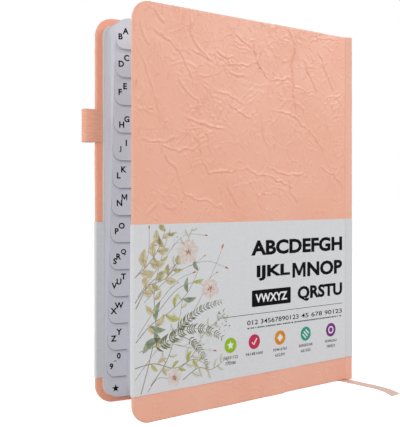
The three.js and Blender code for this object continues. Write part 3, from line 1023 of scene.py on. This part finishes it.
def makeShoulders():
    shape = shoulder
    first, last, end = shape["creased"]
    clothPath = shoulderPath(shape["radius"], shape["clothStart"])
    bandPath = shoulderPath(shape["radius"] + shape["bandLift"] + shape["bandThickness"], shape["bandStart"])
    for side, seed, nodes in (("front", 301, ("front_joint", "spine")), ("back", 502, ("back_joint",))):
        def rumple(across, up):
            ends = smoothStep(across / first) * smoothStep((end - across) / (end - last))
            return shape["creaseShare"] * clothHeight(across, up, seed) * pressed(up) * ends

        makeShoulder(side + "ShoulderCloth", side, clothPath, shape["clothThickness"],
                     book["footGap"], book["height"], rumple, jointCloth,
                     [node + "_cloth" for node in nodes])
        makeShoulder(side + "ShoulderBand", side, bandPath, shape["bandThickness"],
                     book["bandBottom"], book["bandTop"], lambda across, up: np.zeros_like(across),
                     bandFlat, [node + "_band" for node in nodes])


# Cloth turned over the head and foot of the spine's board: X, and depth below the cloth's edge, in mm
spineTurn = {
    "near": 0.93,
    "far": 22.83,
    "steps": 45,
    "profile": [
        (4.5, 0.53), (4.5, 0.12), (4.38, 0.02), (3.3, 0.02), (3.05, 0.12), (2.94, 0.35), (2.94, 1.2),
        (3.02, 1.27), (3.18, 1.27), (3.26, 1.2), (3.27, 0.53),
    ],
}


def makeSpineTurn(name, edge, way):
    profile = np.array(spineTurn["profile"])
    along = np.linspace(spineTurn["near"], spineTurn["far"], spineTurn["steps"])
    points = [closedPlace(profile[:, 0], y, edge + way * profile[:, 1]) for y in along]
    flat = [flatPlace(y, lengthsAlong(profile)) for y in along]
    made = makePiece(name, np.vstack(points), barFaces(len(along), len(profile)), [turnedCloth],
                     np.vstack(flat), sharp=50)
    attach(made, "spine")


makeShoulders()
makeSpineTurn("spineTurnHead", book["height"], -1)
makeSpineTurn("spineTurnFoot", book["footGap"], 1)
print("spine and joints covered")

# Index leaves: each section is a few flat leaves, with narrow columns at the gutter
leaves = {
    "sections": 14,
    "pitch": 1.2,
    "thickness": 1.08,
    "perSection": 6,
    "gap": 0.03,
    "ribbonRoom": 0.48,
    "firstTab": 17.4,
    "tabPitch": 15.1,
    "tabWidth": 12.5,
    "tabCorner": 5.0,
    "stepCorner": 1.5,
    "leafCorner": 8.0,
    "bend": (-5.2, -6.2, -7.4, -8.8, -10.4, -12.2, -14.0, -16.0),
    "turns": (-5.4, -15.7),
    "turnsHeight": 100.0,
    "trim": 0.1,
    "seed": 77,
    "flyleafDepth": 3.0,
    "flyleafThickness": 0.2,
}


# An outline from corners [x, z, radius], with an arc at each corner that has one
def roundedOutline(corners, steps=8):
    outline = []
    for i, (x, z, radius) in enumerate(corners):
        if not radius:
            outline.append((x, z))
            continue
        here = np.array((x, z))
        back = np.array(corners[i - 1][:2]) - here
        ahead = np.array(corners[(i + 1) % len(corners)][:2]) - here
        back, ahead = back / np.linalg.norm(back), ahead / np.linalg.norm(ahead)
        start, end = here + back * radius, here + ahead * radius
        centre = start + end - here
        for t in np.linspace(0, pi / 2, steps + 1):
            outline.append(tuple(centre + (start - centre) * cos(t) + (end - centre) * sin(t)))
    return outline


# One leaf: its outer part as one flat face, and narrow columns at the gutter
def addLeaf(points, flat, faces, outline, near, far, shift):
    bend = leaves["bend"]
    outer = [(x + shift if x < bend[-1] - 1 else x, z) for x, z in outline]
    top, bottom = book["leafTop"], book["leafBottom"]
    columns = [(x, top) for x in bend[:-1]], [(x, bottom) for x in bend[:-1]]
    loop = outer + columns[1][::-1] + columns[0]
    base, count = len(points), len(loop)
    n, m = len(outer), len(bend) - 1
    for level in (near, far):
        for x, z in loop:
            points.append((x, level, z))
            flat.append((x, z))
    faces.append(tuple(range(base, base + n)))
    faces.append(tuple(range(base + count, base + count + n)))
    upper = [0] + [n + m + k for k in range(m - 1, -1, -1)]
    lower = [n - 1] + [n + k for k in range(m)]
    for start in (base, base + count):
        for k in range(m):
            faces.append((start + upper[k], start + upper[k + 1], start + lower[k + 1], start + lower[k]))
    for k in range(count):
        after = (k + 1) % count
        faces.append((base + k, base + after, base + count + after, base + count + k))


def sectionNear(index):
    room = leaves["ribbonRoom"] if index >= leaves["sections"] // 2 else 0.0
    return book["blockNear"] + index * leaves["pitch"] + room


def tabFoot(index):
    return book["leafTop"] - leaves["firstTab"] - index * leaves["tabPitch"]


# A piece of several leaves, each given as [near, far, shift of its fore edge]
def makeLeafPiece(name, toFrame, outline, parts, material, body):
    points, flat, faces = [], [], []
    for near, far, shift in parts:
        addLeaf(points, flat, faces, outline, near, far, shift)
    made = makePiece(name, toFrame(*np.asarray(points).T), faces, [material], flat, sharp=30)
    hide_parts(body)
    start, end = (tuple(toFrame(x, parts[-1][0], leaves["turnsHeight"])) for x in leaves["turns"])
    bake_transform(made)


def makeLeaves():
    shape = leaves
    edge, top, bottom = book["leafEdge"], book["leafTop"], book["leafBottom"]
    inner, bendStart, corner = edge + shape["tabWidth"], shape["bend"][-1], shape["leafCorner"]
    dice = np.random.default_rng(shape["seed"])
    each = (shape["thickness"] - (shape["perSection"] - 1) * shape["gap"]) / shape["perSection"]
    for index in range(shape["sections"]):
        foot = [(edge, bottom, corner)]
        if index < shape["sections"] - 1:
            step = tabFoot(index)
            foot = [(edge, step, shape["tabCorner"]), (inner, step, shape["stepCorner"]),
                    (inner, bottom, shape["tabCorner"])]
        outline = roundedOutline([(bendStart, top, 0), (edge, top, corner), *foot, (bendStart, bottom, 0)])
        parts = []
        for i in range(shape["perSection"]):
            near = sectionNear(index) + i * (each + shape["gap"])
            parts.append((near, near + each, dice.uniform(0, shape["trim"]) if i else 0.0))
        number = f"{index + 1:02d}"
        makeLeafPiece("leaves" + number, closedPlace, outline, parts, leafPaper,
                      "section_" + number)
    outline = roundedOutline([(bendStart, top, 0), (inner, top, corner), (inner, bottom, corner),
                              (bendStart, bottom, 0)])
    parts = [(shape["flyleafDepth"], shape["flyleafDepth"] + shape["flyleafThickness"], 0.0)]
    for side, toFrame in (("front", closedPlace), ("back", backPlace)):
        makeLeafPiece(side + "Endleaf", toFrame, outline, parts, endFlat, side + "_flyleaf")


makeLeaves()
print("leaves stacked")


# Printed marks are thin plates on a face. A sheet of marks gathers them as [x, z, lift] with an ink each
def newSheet():
    return {"points": [], "faces": [], "inks": [], "names": []}


def addFaces(sheet, faces, name):
    if name not in sheet["names"]:
        sheet["names"].append(name)
    sheet["faces"] += faces
    sheet["inks"] += [sheet["names"].index(name)] * len(faces)


def addPlate(sheet, outline, name, lift=0.03):
    base, count = len(sheet["points"]), len(outline)
    for level in (lift, 0.0):
        sheet["points"] += [(x, z, level) for x, z in outline]
    made = [tuple(range(base, base + count)), tuple(range(base + count, base + 2 * count))[::-1]]
    made += [(base + k, base + (k + 1) % count, base + count + (k + 1) % count, base + count + k)
             for k in range(count)]
    addFaces(sheet, made, name)


def addStroke(sheet, line, width, name, lift=0.03):
    line = np.asarray(line, float)
    widths = np.broadcast_to(np.asarray(width, float), (len(line),))
    side = -normalsAlong(line) * widths[:, None] / 2
    base, n = len(sheet["points"]), len(line)
    low = 2 * n
    for level in (lift, 0.0):
        sheet["points"] += [(x, z, level) for edge in (line + side, line - side) for x, z in edge]
    made = []
    for a in range(base, base + n - 1):
        b, c, d = a + 1, a + n + 1, a + n
        made += [(a, b, c, d), (d + low, c + low, b + low, a + low), (a, a + low, b + low, b),
                 (c, c + low, d + low, d)]
    made += [(a, a + n, a + 3 * n, a + 2 * n) for a in (base, base + n - 1)]
    addFaces(sheet, made, name)


# Letters and figures from the built-in typeface, fitted to a width and a cap height.
# Without a width they keep the typeface's own, about the place given
def addGlyphs(sheet, words, name, left, bottom, capHeight, width=None, heavy=0.0, lift=0.03):
    text = bpy.data.curves.new("glyphs", "FONT")
    text.body, text.resolution_u, text.offset, text.extrude = words, 3, heavy, 0.5
    shown = bpy.data.objects.new("glyphs", text)
    bpy.context.scene.collection.objects.link(shown)
    bpy.context.view_layer.update()
    mesh = bpy.data.meshes.new_from_object(shown.evaluated_get(bpy.context.evaluated_depsgraph_get()))
    corners = np.array([tuple(v.co) for v in mesh.vertices])
    low, high = corners.min(0), corners.max(0)
    tall = capHeight / (high[1] - low[1])
    wide = tall if width is None else width / (high[0] - low[0])
    if width is None:
        left = left - wide * (high[0] - low[0]) / 2
    base = len(sheet["points"])
    sheet["points"] += [(left + (x - low[0]) * wide, bottom + (y - low[1]) * tall, lift * (level > 0))
                        for x, y, level in corners]
    addFaces(sheet, [tuple(base + v for v in face.vertices) for face in mesh.polygons], name)
    bpy.data.objects.remove(shown)
    bpy.data.curves.remove(text)
    bpy.data.meshes.remove(mesh)


# The typeface's M breaks when it is thickened, so this one is drawn, in parts of its width and height
def addLetterM(sheet, name, left, bottom, wide, tall, stem=0.2):
    half, slope = stem * 0.42, stem * 1.15
    corners = [(0, 0), (0, 1), (slope, 1), (0.5, 0.42), (1 - slope, 1), (1, 1), (1, 0), (1 - stem, 0),
               (1 - stem, 0.66), (0.5 + half, 0.12), (0.5 - half, 0.12), (stem, 0.66), (stem, 0)]
    addPlate(sheet, [(left + x * wide, bottom + z * tall) for x, z in corners], name)


def printSheet(sheet, name, body, toFrame, level):
    points = np.asarray(sheet["points"])
    made = makePiece(name, toFrame(points[:, 0], level - points[:, 2], points[:, 1]), sheet["faces"],
                     [ink[n] for n in sheet["names"]], points[:, :2], sheet["inks"], sharp=30)
    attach(made, body)


# Index marks: each letter's middle in pixels of the photograph, drawn the right way round
tabMarks = {
    "capHeight": 3.4,
    "heavy": 0.034,
    "broadShare": 0.96,
    "broadStem": 0.17,
    "starReach": 2.3,
    "dash": (0.7, 0.2),
    "edgeInset": 0.3,
    "edgeWidth": (0.1, 0.55),
    "edgeLength": 9.0,
    "letters": [
        [("A", 125.7, 31.1), ("B", 120.6, 36.4)],
        [("C", 126.6, 58.0), ("D", 121.3, 63.8)],
        [("E", 125.1, 86.2), ("F", 120.2, 92.0)],
        [("G", 126.8, 119.2), ("H", 121.7, 124.6)],
        [("I", 126.3, 143.0), ("J", 120.4, 149.0)],
        [("K", 123.8, 169.4), ("L", 118.8, 175.5)],
        [("M", 124.4, 197.2), ("N", 119.5, 203.0)],
        [("O", 121.7, 225.8), ("P", 116.8, 231.2)],
        [("Q", 123.5, 252.0), ("R", 118.7, 256.5), ("S", 115.0, 261.2)],
        [("T", 123.5, 276.5), ("U", 119.0, 281.6), ("V", 114.3, 285.8)],
        [("W", 119.1, 305.3), ("X", 113.7, 311.0)],
        [("Y", 119.1, 331.8), ("Z", 113.7, 338.6)],
        [("0", 118.8, 355.8), ("-", 115.2, 361.0), ("9", 111.4, 366.4)],
        [("star", 115.7, 388.3)],
    ],
}


def starOutline(x, z, reach, waist=0.42, points=5):
    turns = np.arange(2 * points) * pi / points + pi / 2
    reaches = np.where(np.arange(2 * points) % 2, reach * waist, reach)
    return [(x + r * cos(t), z + r * sin(t)) for t, r in zip(turns, reaches)]


def makeTabMarks():
    shape = tabMarks
    tall, inset, (dashX, dashZ) = shape["capHeight"], shape["edgeInset"], shape["dash"]
    wide = tall * shape["broadShare"]
    for index, row in enumerate(shape["letters"]):
        sheet = newSheet()
        level = sectionNear(index)
        if index < leaves["sections"] - 1:
            # a dark stroke round each tab's foot: a painted shadow for the shade under the tab
            edge, foot = book["leafEdge"], tabFoot(index)
            corner = roundedOutline([(edge, foot + shape["edgeLength"], 0), (edge, foot, leaves["tabCorner"]),
                                     (edge + leaves["tabWidth"] - 1.0, foot, 0)])
            addStroke(sheet, [(x + inset, z + inset) for x, z in corner],
                      np.linspace(*shape["edgeWidth"], len(corner)), "inkEdge")
        for words, px, py in row:
            x, z = fromPhoto(px, py, level, False)
            if words == "star":
                addPlate(sheet, starOutline(x, z, shape["starReach"]), "inkBlack")
            elif words == "-":
                addPlate(sheet, boxOutline(x - dashX, z - dashZ, x + dashX, z + dashZ), "inkBlack")
            elif words == "M":
                addLetterM(sheet, "inkBlack", x - wide / 2, z - tall / 2, wide, tall, shape["broadStem"])
            else:
                addGlyphs(sheet, words, "inkBlack", x, z - tall / 2, tall, heavy=shape["heavy"])
        printSheet(sheet, f"tabMark{index + 1:02d}", f"section_{index + 1:02d}", closedPlace, level)


makeTabMarks()
print("index marks printed")


# The belly band's print: rows of plain letters, a dark plate, thin lines and five round marks, in mm.
# A row is [words, left, right, bottom, height]
bandPrint = {
    "seed": 31,
    "rows": [
        ("ABCDEFGH", -77.5, -3.1, 82.1, 8.7), ("IJKL", -73.4, -47.6, 67.6, 8.8),
        ("M", -45.6, -34.8, 67.6, 8.8), ("NOP", -33.4, -3.1, 67.6, 8.8), ("QRSTU", -41.4, -3.1, 52.9, 9.2),
    ],
    "rowHeavy": 0.04,
    "plate": (-77.0, 53.0, -47.0, 62.4),
    "plateCorner": 0.7,
    "plateRow": ("VWXYZ", -74.4, -49.8, 55.2, 5.0),
    "plateHeavy": 0.03,
    "rule": [(-100.2, 49.0), (-3.1, 49.0)],
    "ruleWidth": 0.3,
    "figures": [("012 34567890123", -80.5, -40.6, 43.0, 2.7), ("45 678 90123", -38.4, -3.4, 43.0, 2.7)],
    "figureHeavy": 0.008,
    "dashes": (-80.3, -3.4, 41.2, 0.7),
    "dashWide": (0.5, 1.5),
    "dashGaps": (0.28, 0.9),
    "wordShare": 0.2,
    "discs": [
        ("discLime", -92.5), ("discCrimson", -75.2), ("discOrange", -55.5), ("discTeal", -34.7),
        ("discPurple", -13.2),
    ],
    "discHeight": 33.3,
    "discReach": 4.2,
    "discSides": 48,
    "signLift": 0.055,
    "signWidth": 0.8,
    "captions": [(9, 25.7), (6, 22.5)],
    "captionHalf": (5.2, 6.6),
    "captionShrink": 0.3,
    "captionHeight": 1.7,
    "captionHeavy": 0.012,
    "oneLine": "discCrimson",
}


# A line of small print that is too fine to read: dashes, with a wider gap now and then
def dashedLine(sheet, dice, left, right, height, tall, name):
    gap, wordGap = bandPrint["dashGaps"]
    x = left
    while x < right - 0.6:
        wide = min(dice.uniform(*bandPrint["dashWide"]), right - x)
        addPlate(sheet, boxOutline(x, height - tall / 2, x + wide, height + tall / 2), name)
        x += wide + (wordGap if dice.random() < bandPrint["wordShare"] else gap)


# A star, a tick, a diamond, three stripes and a ring, one on each disc
def addDiscMarks(sheet, x, z, reach):
    lift = bandPrint["signLift"]
    lines = [[(x[1] - 1.7, z - 0.2), (x[1] - 0.5, z - 1.6), (x[1] + 1.9, z + 1.8)]]
    for offset in (-1.8, 0.0, 1.8):
        half = sqrt((reach * 0.72) ** 2 - offset**2) * 0.72 * 0.7
        middleX, middleZ = x[3] + offset * 0.7, z + offset * 0.7
        lines.append([(middleX - half, middleZ + half), (middleX + half, middleZ - half)])
    lines.append(roundOutline(x[4], z, 1.9, 32) + [(x[4] + 1.9, z)])
    addPlate(sheet, starOutline(x[0], z, reach * 0.62, 0.45), "inkPale", lift)
    addPlate(sheet, roundOutline(x[2], z, 2.3, 4), "inkPale", lift)
    for line in lines:
        addStroke(sheet, line, bandPrint["signWidth"], "inkPale", lift)


def makeBandPrint():
    shape = bandPrint
    sheet = newSheet()
    dice = np.random.default_rng(shape["seed"])

    def addRow(row, name, heavy, lift=0.03):
        words, left, right, bottom, tall = row
        addGlyphs(sheet, words, name, left, bottom, tall, right - left, heavy, lift)

    for row in shape["rows"]:
        words, left, right, bottom, tall = row
        if words == "M":
            addLetterM(sheet, "inkBlack", left, bottom, right - left, tall)
        else:
            addRow(row, "inkBlack", shape["rowHeavy"])
    corners = [(x, z, shape["plateCorner"]) for x, z in boxOutline(*shape["plate"])]
    addPlate(sheet, roundedOutline(corners, 4), "inkBlack")
    addRow(shape["plateRow"], "inkPale", shape["plateHeavy"], shape["signLift"])
    addStroke(sheet, shape["rule"], shape["ruleWidth"], "inkGrey")
    for row in shape["figures"]:
        addRow(row, "inkBlack", shape["figureHeavy"])
    dashedLine(sheet, dice, *shape["dashes"], "inkGrey")
    reach, height = shape["discReach"], shape["discHeight"]
    for name, x in shape["discs"]:
        addPlate(sheet, roundOutline(x, height, reach, shape["discSides"]), name)
        half = dice.uniform(*shape["captionHalf"])
        captions = shape["captions"][:1] if name == shape["oneLine"] else shape["captions"]
        for line, (digits, bottom) in enumerate(captions):
            words = "".join(str(n) for n in dice.integers(0, 10, digits))
            wide = half * (1 - shape["captionShrink"] * line)
            caption = (words, x - wide, x + wide, bottom, shape["captionHeight"])
            addRow(caption, "inkGrey", shape["captionHeavy"])
    addDiscMarks(sheet, [x for _, x in shape["discs"]], height, reach)
    printSheet(sheet, "bandLettering", "front_cover", frontPlace, book["bandFace"])


# Painted sprigs at the band's fore edge, in mm from its lower left corner: a layout of our own.
# Each kind of mark has its own lift, so that the later ones lie on the earlier ones.
# A leafy stem is [points, inks, leaf length and width, leaves, first leaf, spread, lift]
# and a fern [points, leaf length, pairs]; a flower is [stem, stem widths, middle, reach, turn]
sprigs = {
    "corner": (-154.6, 14.9),
    "size": (70.0, 86.4),
    "seed": 23,
    "stemWidth": (0.5, 0.22),
    "fernWidth": (0.4, 0.2),
    "budWidth": (0.3, 0.18),
    "sideWidth": (0.22, 0.16),
    "veinWidth": (0.3, 0.12),
    "stemSteps": 26,
    "stems": [
        ("leafy", [(4, 0.5), (9, 16), (13, 34), (12, 52), (17, 71), (22, 84)],
         ["washTan", "washOlive"], 9.5, 4.2, 11, 0.3),
        ("leafy", [(1, 27), (10, 35), (22, 41), (33, 50), (41, 63)],
         ["washSage", "washLime"], 11.5, 4.0, 8, 0.2),
        ("leafy", [(0.5, 14), (12, 15), (25, 11), (37, 14), (47, 9)],
         ["washTan", "washLime", "washTan"], 8.0, 3.4, 9, 0.2),
        ("fern", [(3, 22), (18, 25), (32, 30), (46, 29), (57, 23)], 5.8, 24),
        ("fern", [(22, 27), (32, 35), (44, 41), (56, 43)], 4.6, 19),
        ("leafy", [(19, 58), (29, 70), (36, 84)], ["washPale"], 8.0, 3.2, 9, 0.2, 0.9, 0.014),
        ("leafy", [(24, 8), (36, 16), (44, 27), (58, 36)], ["washPale"], 8.0, 3.2, 11, 0.2, 0.9, 0.014),
        ("leafy", [(10, 4), (20, 16), (27, 34), (30, 48)], ["washPale"], 8.0, 3.2, 10, 0.2, 0.9, 0.014),
        ("leafy", [(30, 4), (40, 9), (49, 7), (60, 12)], ["washPale"], 8.0, 3.2, 9, 0.2, 0.9, 0.014),
        ("fern", [(30, 27), (38, 22), (44, 14), (46, 8)], 3.8, 14),
        ("leafy", [(0.5, 60), (7, 65), (14, 73), (19, 84)], ["washOlive", "washTan"], 10.5, 5.6, 8, 0.15),
        ("leafy", [(0.5, 47), (8, 55), (18, 58), (28, 66)], ["washTan", "washOlive"], 9.5, 5.2, 8, 0.2),
    ],
    "flowers": [
        ([(1, 44), (9, 56), (20, 62), (30, 68)], (0.5, 0.22), (33.5, 71.5), 7.4, 0.3),
        ([(13, 40), (26, 52), (38, 55), (45, 52)], (0.4, 0.24), (48.0, 51.0), 6.0, 0.9),
        ([(8, 1), (14, 7), (21, 6), (24, 4.6)], (0.34, 0.22), (24.5, 6.0), 4.8, 0.1),
    ],
    "budStems": [
        [(2, 50), (16, 66), (30, 80), (44, 80)], [(6, 47), (24, 60), (44, 66), (58, 62)],
        [(30, 30), (42, 47), (52, 64), (56, 72)], [(2, 30), (16, 47), (27, 57), (36, 60)],
        [(0.6, 8), (14, 22), (22, 24), (36, 20), (50, 17)], [(1, 60), (8, 70), (9, 84)],
    ],
    "lowLeaves": [((5, 21), 0.55, 13.0, 4.6, 0.12), ((12, 32), -0.9, 10.0, 3.4, -0.14)],
    "sprays": [
        ((44, 21), 6.5, 44, "washMist"), ((27, 78), 5.5, 26, "washMist"), ((57, 33), 5.5, 30, "washSage"),
    ],
}


def addStem(sheet, points, widths=sprigs["stemWidth"], lift=0.02, steps=sprigs["stemSteps"]):
    line = smoothRoute(points, steps)
    addStroke(sheet, line, np.linspace(*widths, steps), "washStem", lift)
    return line


def stepFrom(at, heading, away):
    return at[0] + away * cos(heading), at[1] + away * sin(heading)


# The outline of a leaf or petal: its middle line, and half its width on both sides
def bladeOutline(middle, half, side, lower=1.0):
    across = half[:, None] * side
    return [*(middle + across), *(middle - across * lower)[-2:0:-1]]


def headingAt(line, k):
    return atan2(*(line[k + 1] - line[k])[::-1])


# Places along a stem, from a share of its length on, with the stem's heading there
def placesOn(line, start, end, count):
    for share in np.linspace(start, end, count):
        k = min(int(share * (len(line) - 1)), len(line) - 2)
        yield share, line[k], headingAt(line, k)


def addLeafMark(sheet, at, heading, long, wide, name, lift=0.03, bend=0.15, vein=True):
    s = np.linspace(0, 1, 9)
    ahead, side = np.array(((cos(heading), sin(heading)), (-sin(heading), cos(heading))))
    middle = at + long * s[:, None] * ahead + long * bend * np.sin(pi * s)[:, None] * side
    half = wide / 2 * np.sin(pi * s**0.85) ** 0.9
    half[[0, -1]] = 0.0
    addPlate(sheet, bladeOutline(middle, half, side, 0.85), name, lift)
    if vein:
        addStroke(sheet, middle[:8], np.linspace(*sprigs["veinWidth"], 8), "washStem", lift + 0.008)


def addLeafyStem(sheet, dice, points, names, long, wide, count, start=0.25, spread=0.75, lift=0.03):
    line = addStem(sheet, points)
    for i, (share, at, heading) in enumerate(placesOn(line, start, 0.97, count)):
        way = 1 if i % 2 else -1
        scale = dice.uniform(0.75, 1.1) * (1.0 - 0.35 * share)
        addLeafMark(sheet, at, heading + way * spread * dice.uniform(0.8, 1.2), long * scale, wide * scale,
                    names[int(dice.integers(0, len(names)))], lift + 0.002 * (i % 4), 0.12 * way)


def addFern(sheet, dice, points, long, count, lift=0.036):
    line = addStem(sheet, points, sprigs["fernWidth"], steps=40)
    for share, at, heading in placesOn(line, 0.2, 0.98, count):
        for way in (-1, 1):
            size = long * (1.05 - 0.6 * share) * dice.uniform(0.85, 1.1)
            addLeafMark(sheet, at, heading + way * 0.8, size, size * 0.2, "washFern", lift, 0.1 * way, False)


# A flower's petals and stamens; each petal has a rusty streak and two pale ones, as
# [turn from its middle, share of its length, widths, ink]
flower = {
    "petals": 5,
    "petalWidth": 0.42,
    "petalTurn": 0.06,
    "petalLength": (0.85, 1.05),
    "streaks": [
        (0.0, 0.42, (0.5, 0.12), "washRust"), (-0.22, 0.8, (0.1, 0.2), "washMist"),
        (0.2, 0.75, (0.1, 0.2), "washMist"),
    ],
    "stamens": 9,
    "stamenAway": (0.6, 1.5),
    "stamenReach": 0.3,
    "lift": 0.046,
}


def addFlower(sheet, dice, at, reach, turned):
    shape = flower
    petals, lift = shape["petals"], shape["lift"]
    s = np.linspace(0, 1, 8)
    half = reach * shape["petalWidth"] * np.sin(pi * s**1.6) ** 0.7
    half[0] = 0.02
    for i in range(petals):
        heading = turned + 2 * pi * i / petals + dice.normal(0, shape["petalTurn"])
        long = reach * dice.uniform(*shape["petalLength"])
        ahead, side = np.array(((cos(heading), sin(heading)), (-sin(heading), cos(heading))))
        petal = bladeOutline(at + long * s[:, None] * ahead, half, side)
        addPlate(sheet, petal, "washPeach", lift + 0.002 * i)
        for turn, share, widths, name in shape["streaks"]:
            tip = stepFrom(at, heading + turn, long * share)
            addStroke(sheet, [at, tip], widths, name, lift + 0.018)
    for _ in range(shape["stamens"]):
        x, z = stepFrom(at, dice.uniform(0, 2 * pi), dice.uniform(*shape["stamenAway"]))
        addPlate(sheet, roundOutline(x, z, shape["stamenReach"], 6), "washRust", lift + 0.022)


def addBud(sheet, at, heading, long=3.0):
    addLeafMark(sheet, at, heading, long, long * 0.34, "washRust", 0.04, 0.05, False)


def addDotSpray(sheet, dice, at, reach, count, name):
    for _ in range(count):
        heading, away = dice.uniform(0, 2 * pi), reach * sqrt(dice.random())
        x, z = at[0] + away * cos(heading), at[1] + away * 1.1 * sin(heading)
        addPlate(sheet, roundOutline(x, z, dice.uniform(0.25, 0.55), 7), name, 0.026)


def makeSprigs():
    sheet = newSheet()
    dice = np.random.default_rng(sprigs["seed"])
    for kind, points, *values in sprigs["stems"]:
        (addLeafyStem if kind == "leafy" else addFern)(sheet, dice, points, *values)
    for points, widths, *values in sprigs["flowers"]:
        addStem(sheet, points, widths)
        addFlower(sheet, dice, *values)
    for points in sprigs["budStems"]:
        line = addStem(sheet, points, sprigs["budWidth"], 0.018)
        addBud(sheet, line[-1], headingAt(line, -2), dice.uniform(2.0, 3.4))
        side = line[17] + np.array((3.2, dice.uniform(-2.0, 3.4)))
        addStem(sheet, [line[14], line[16], side], sprigs["sideWidth"], 0.018, 8)
        addBud(sheet, side, dice.uniform(-0.4, 0.8), 1.9)
    for at, heading, long, wide, bend in sprigs["lowLeaves"]:
        addLeafMark(sheet, at, heading, long, wide, "washSage", 0.034, bend)
    for spray in sprigs["sprays"]:
        addDotSpray(sheet, dice, *spray)
    (left, bottom), (wide, tall) = sprigs["corner"], sprigs["size"]
    sheet["points"] = [(left + min(max(x, 0.0), wide), bottom + min(max(z, 0.0), tall), lift)
                       for x, z, lift in sheet["points"]]
    printSheet(sheet, "bandSprigs", "front_cover", frontPlace, book["bandFace"])


makeBandPrint()
makeSprigs()
print("band printed")

# Elastic pen loop: a ribbed band from the cover's inner face, round the pen and back
penLoop = {
    "bottom": 146.0,
    "top": 164.4,
    "ribs": 11,
    "perRib": 8,
    "ribHeight": 0.24,
    "thickness": 0.62,
    "edgeShare": 0.35,
    "steps": 90,
    "path": [
        (-151.15, 21.28), (-152.6, 21.1), (-154.0, 20.75), (-155.4, 20.4), (-157.2, 20.15), (-159.0, 20.1),
        (-160.8, 20.4), (-162.0, 21.4), (-162.35, 22.9), (-161.4, 24.5), (-159.4, 25.2), (-157.4, 24.9),
        (-156.1, 23.9), (-155.5, 22.6), (-155.45, 21.9),
    ],
}


def makePenLoop():
    shape = penLoop
    path = smoothRoute(shape["path"], shape["steps"])
    rows = shape["ribs"] * shape["perRib"] + 1
    levels = np.linspace(shape["bottom"], shape["top"], rows)
    wave = np.abs(np.sin(np.linspace(0, shape["ribs"] * pi, rows))) ** 0.7 * shape["ribHeight"]
    half = shape["thickness"] / 2 - shape["ribHeight"] + wave
    half[[0, -1]] *= shape["edgeShare"]
    offset, heights = np.concatenate((half, -half[::-1])), np.concatenate((levels, levels[::-1]))
    points, flat = [], []
    for at, out, along in zip(path, normalsAlong(path), lengthsAlong(path)):
        points.append(closedPlace(at[0] + out[0] * offset, at[1] + out[1] * offset, heights))
        flat.append(flatPlace(along, heights))
    made = makePiece("elasticLoop", np.vstack(points), barFaces(len(path), len(offset)), [elastic],
                     np.vstack(flat), sharp=60)
    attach(made, "back_cover")
    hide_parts("pen_loop")


makePenLoop()

# Headbands: a wrapped cord on its tape, at each end of the leaves' spine
headband = {
    "radius": 0.75,
    "fit": 0.1,
    "tapeLeft": 2.45,
    "tape": 0.15,
    "skirt": 12.0,
    "thread": 0.85,
    "threadHeight": 0.09,
    "lean": 0.12,
    "stripe": 2,
    "steps": 161,
    "sides": 16,
}


def makeHeadband(name, edge, way, node):
    shape = headband
    radius, thread, tapeLeft = shape["radius"], shape["thread"], shape["tapeLeft"]
    near, far = book["blockNear"], book["blockNear"] + book["blockThickness"]
    tapeRight = tapeLeft + shape["tape"]
    middleX, middleZ = tapeRight - radius, edge + way * (radius + shape["fit"])
    along = np.linspace(near, far, shape["steps"])
    around = np.arange(shape["sides"]) * 2 * pi / shape["sides"]
    y, turns = np.meshgrid(along, around, indexing="ij")
    threads = np.abs(np.sin((y + shape["lean"] * np.sin(turns)) * pi / thread)) ** 0.6
    reach = radius - shape["threadHeight"] * (1 - threads)
    cord = closedPlace((middleX + reach * np.cos(turns)).ravel(), y.ravel(),
                       (middleZ + reach * np.sin(turns)).ravel())
    wrap = (y[:-1, :] / thread).astype(int) % shape["stripe"]
    low, high = sorted((edge - way * shape["skirt"], middleZ))
    tape = np.array([(x, y, z) for x in (tapeLeft, tapeRight) for y in (near, far) for z in (low, high)])
    sides = ((0, 1, 3, 2), (4, 6, 7, 5), (0, 4, 5, 1), (2, 3, 7, 6), (0, 2, 6, 4), (1, 5, 7, 3))
    points = np.vstack((cord, closedPlace(*tape.T)))
    faces = barFaces(len(along), len(around)) + [tuple(len(cord) + k for k in side) for side in sides]
    looks = list(wrap.ravel()) + [0] * (2 + len(sides))
    made = makePiece(name, points, faces, [headThread, endFlat], points[:, 1:] * 1000, looks, sharp=60)
    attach(made, "spine")
    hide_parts(node)


makeHeadband("headbandHead", book["leafTop"], 1, "headband_top")
makeHeadband("headbandTail", book["leafBottom"], -1, "headband_bottom")
print("loop and headbands made")

# Solids of the frame that are seen as they are
solidLooks = {
    boardLook: ["front_board", "back_board", "spine_board"],
    gauzeLook: ["spine_gauze"],
    foldPaper: ["bound_folds"],
    endSolid: ["front_pastedown", "back_pastedown", "front_joint_lining", "back_joint_lining"],
    bandSolid: ["front_band", "back_band"],
}
for look, nodes in solidLooks.items():
    for node in nodes:
        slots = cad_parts[node].data.materials
        slots.clear()
        slots.append(look)
print("solids dressed:", sum(len(nodes) for nodes in solidLooks.values()))
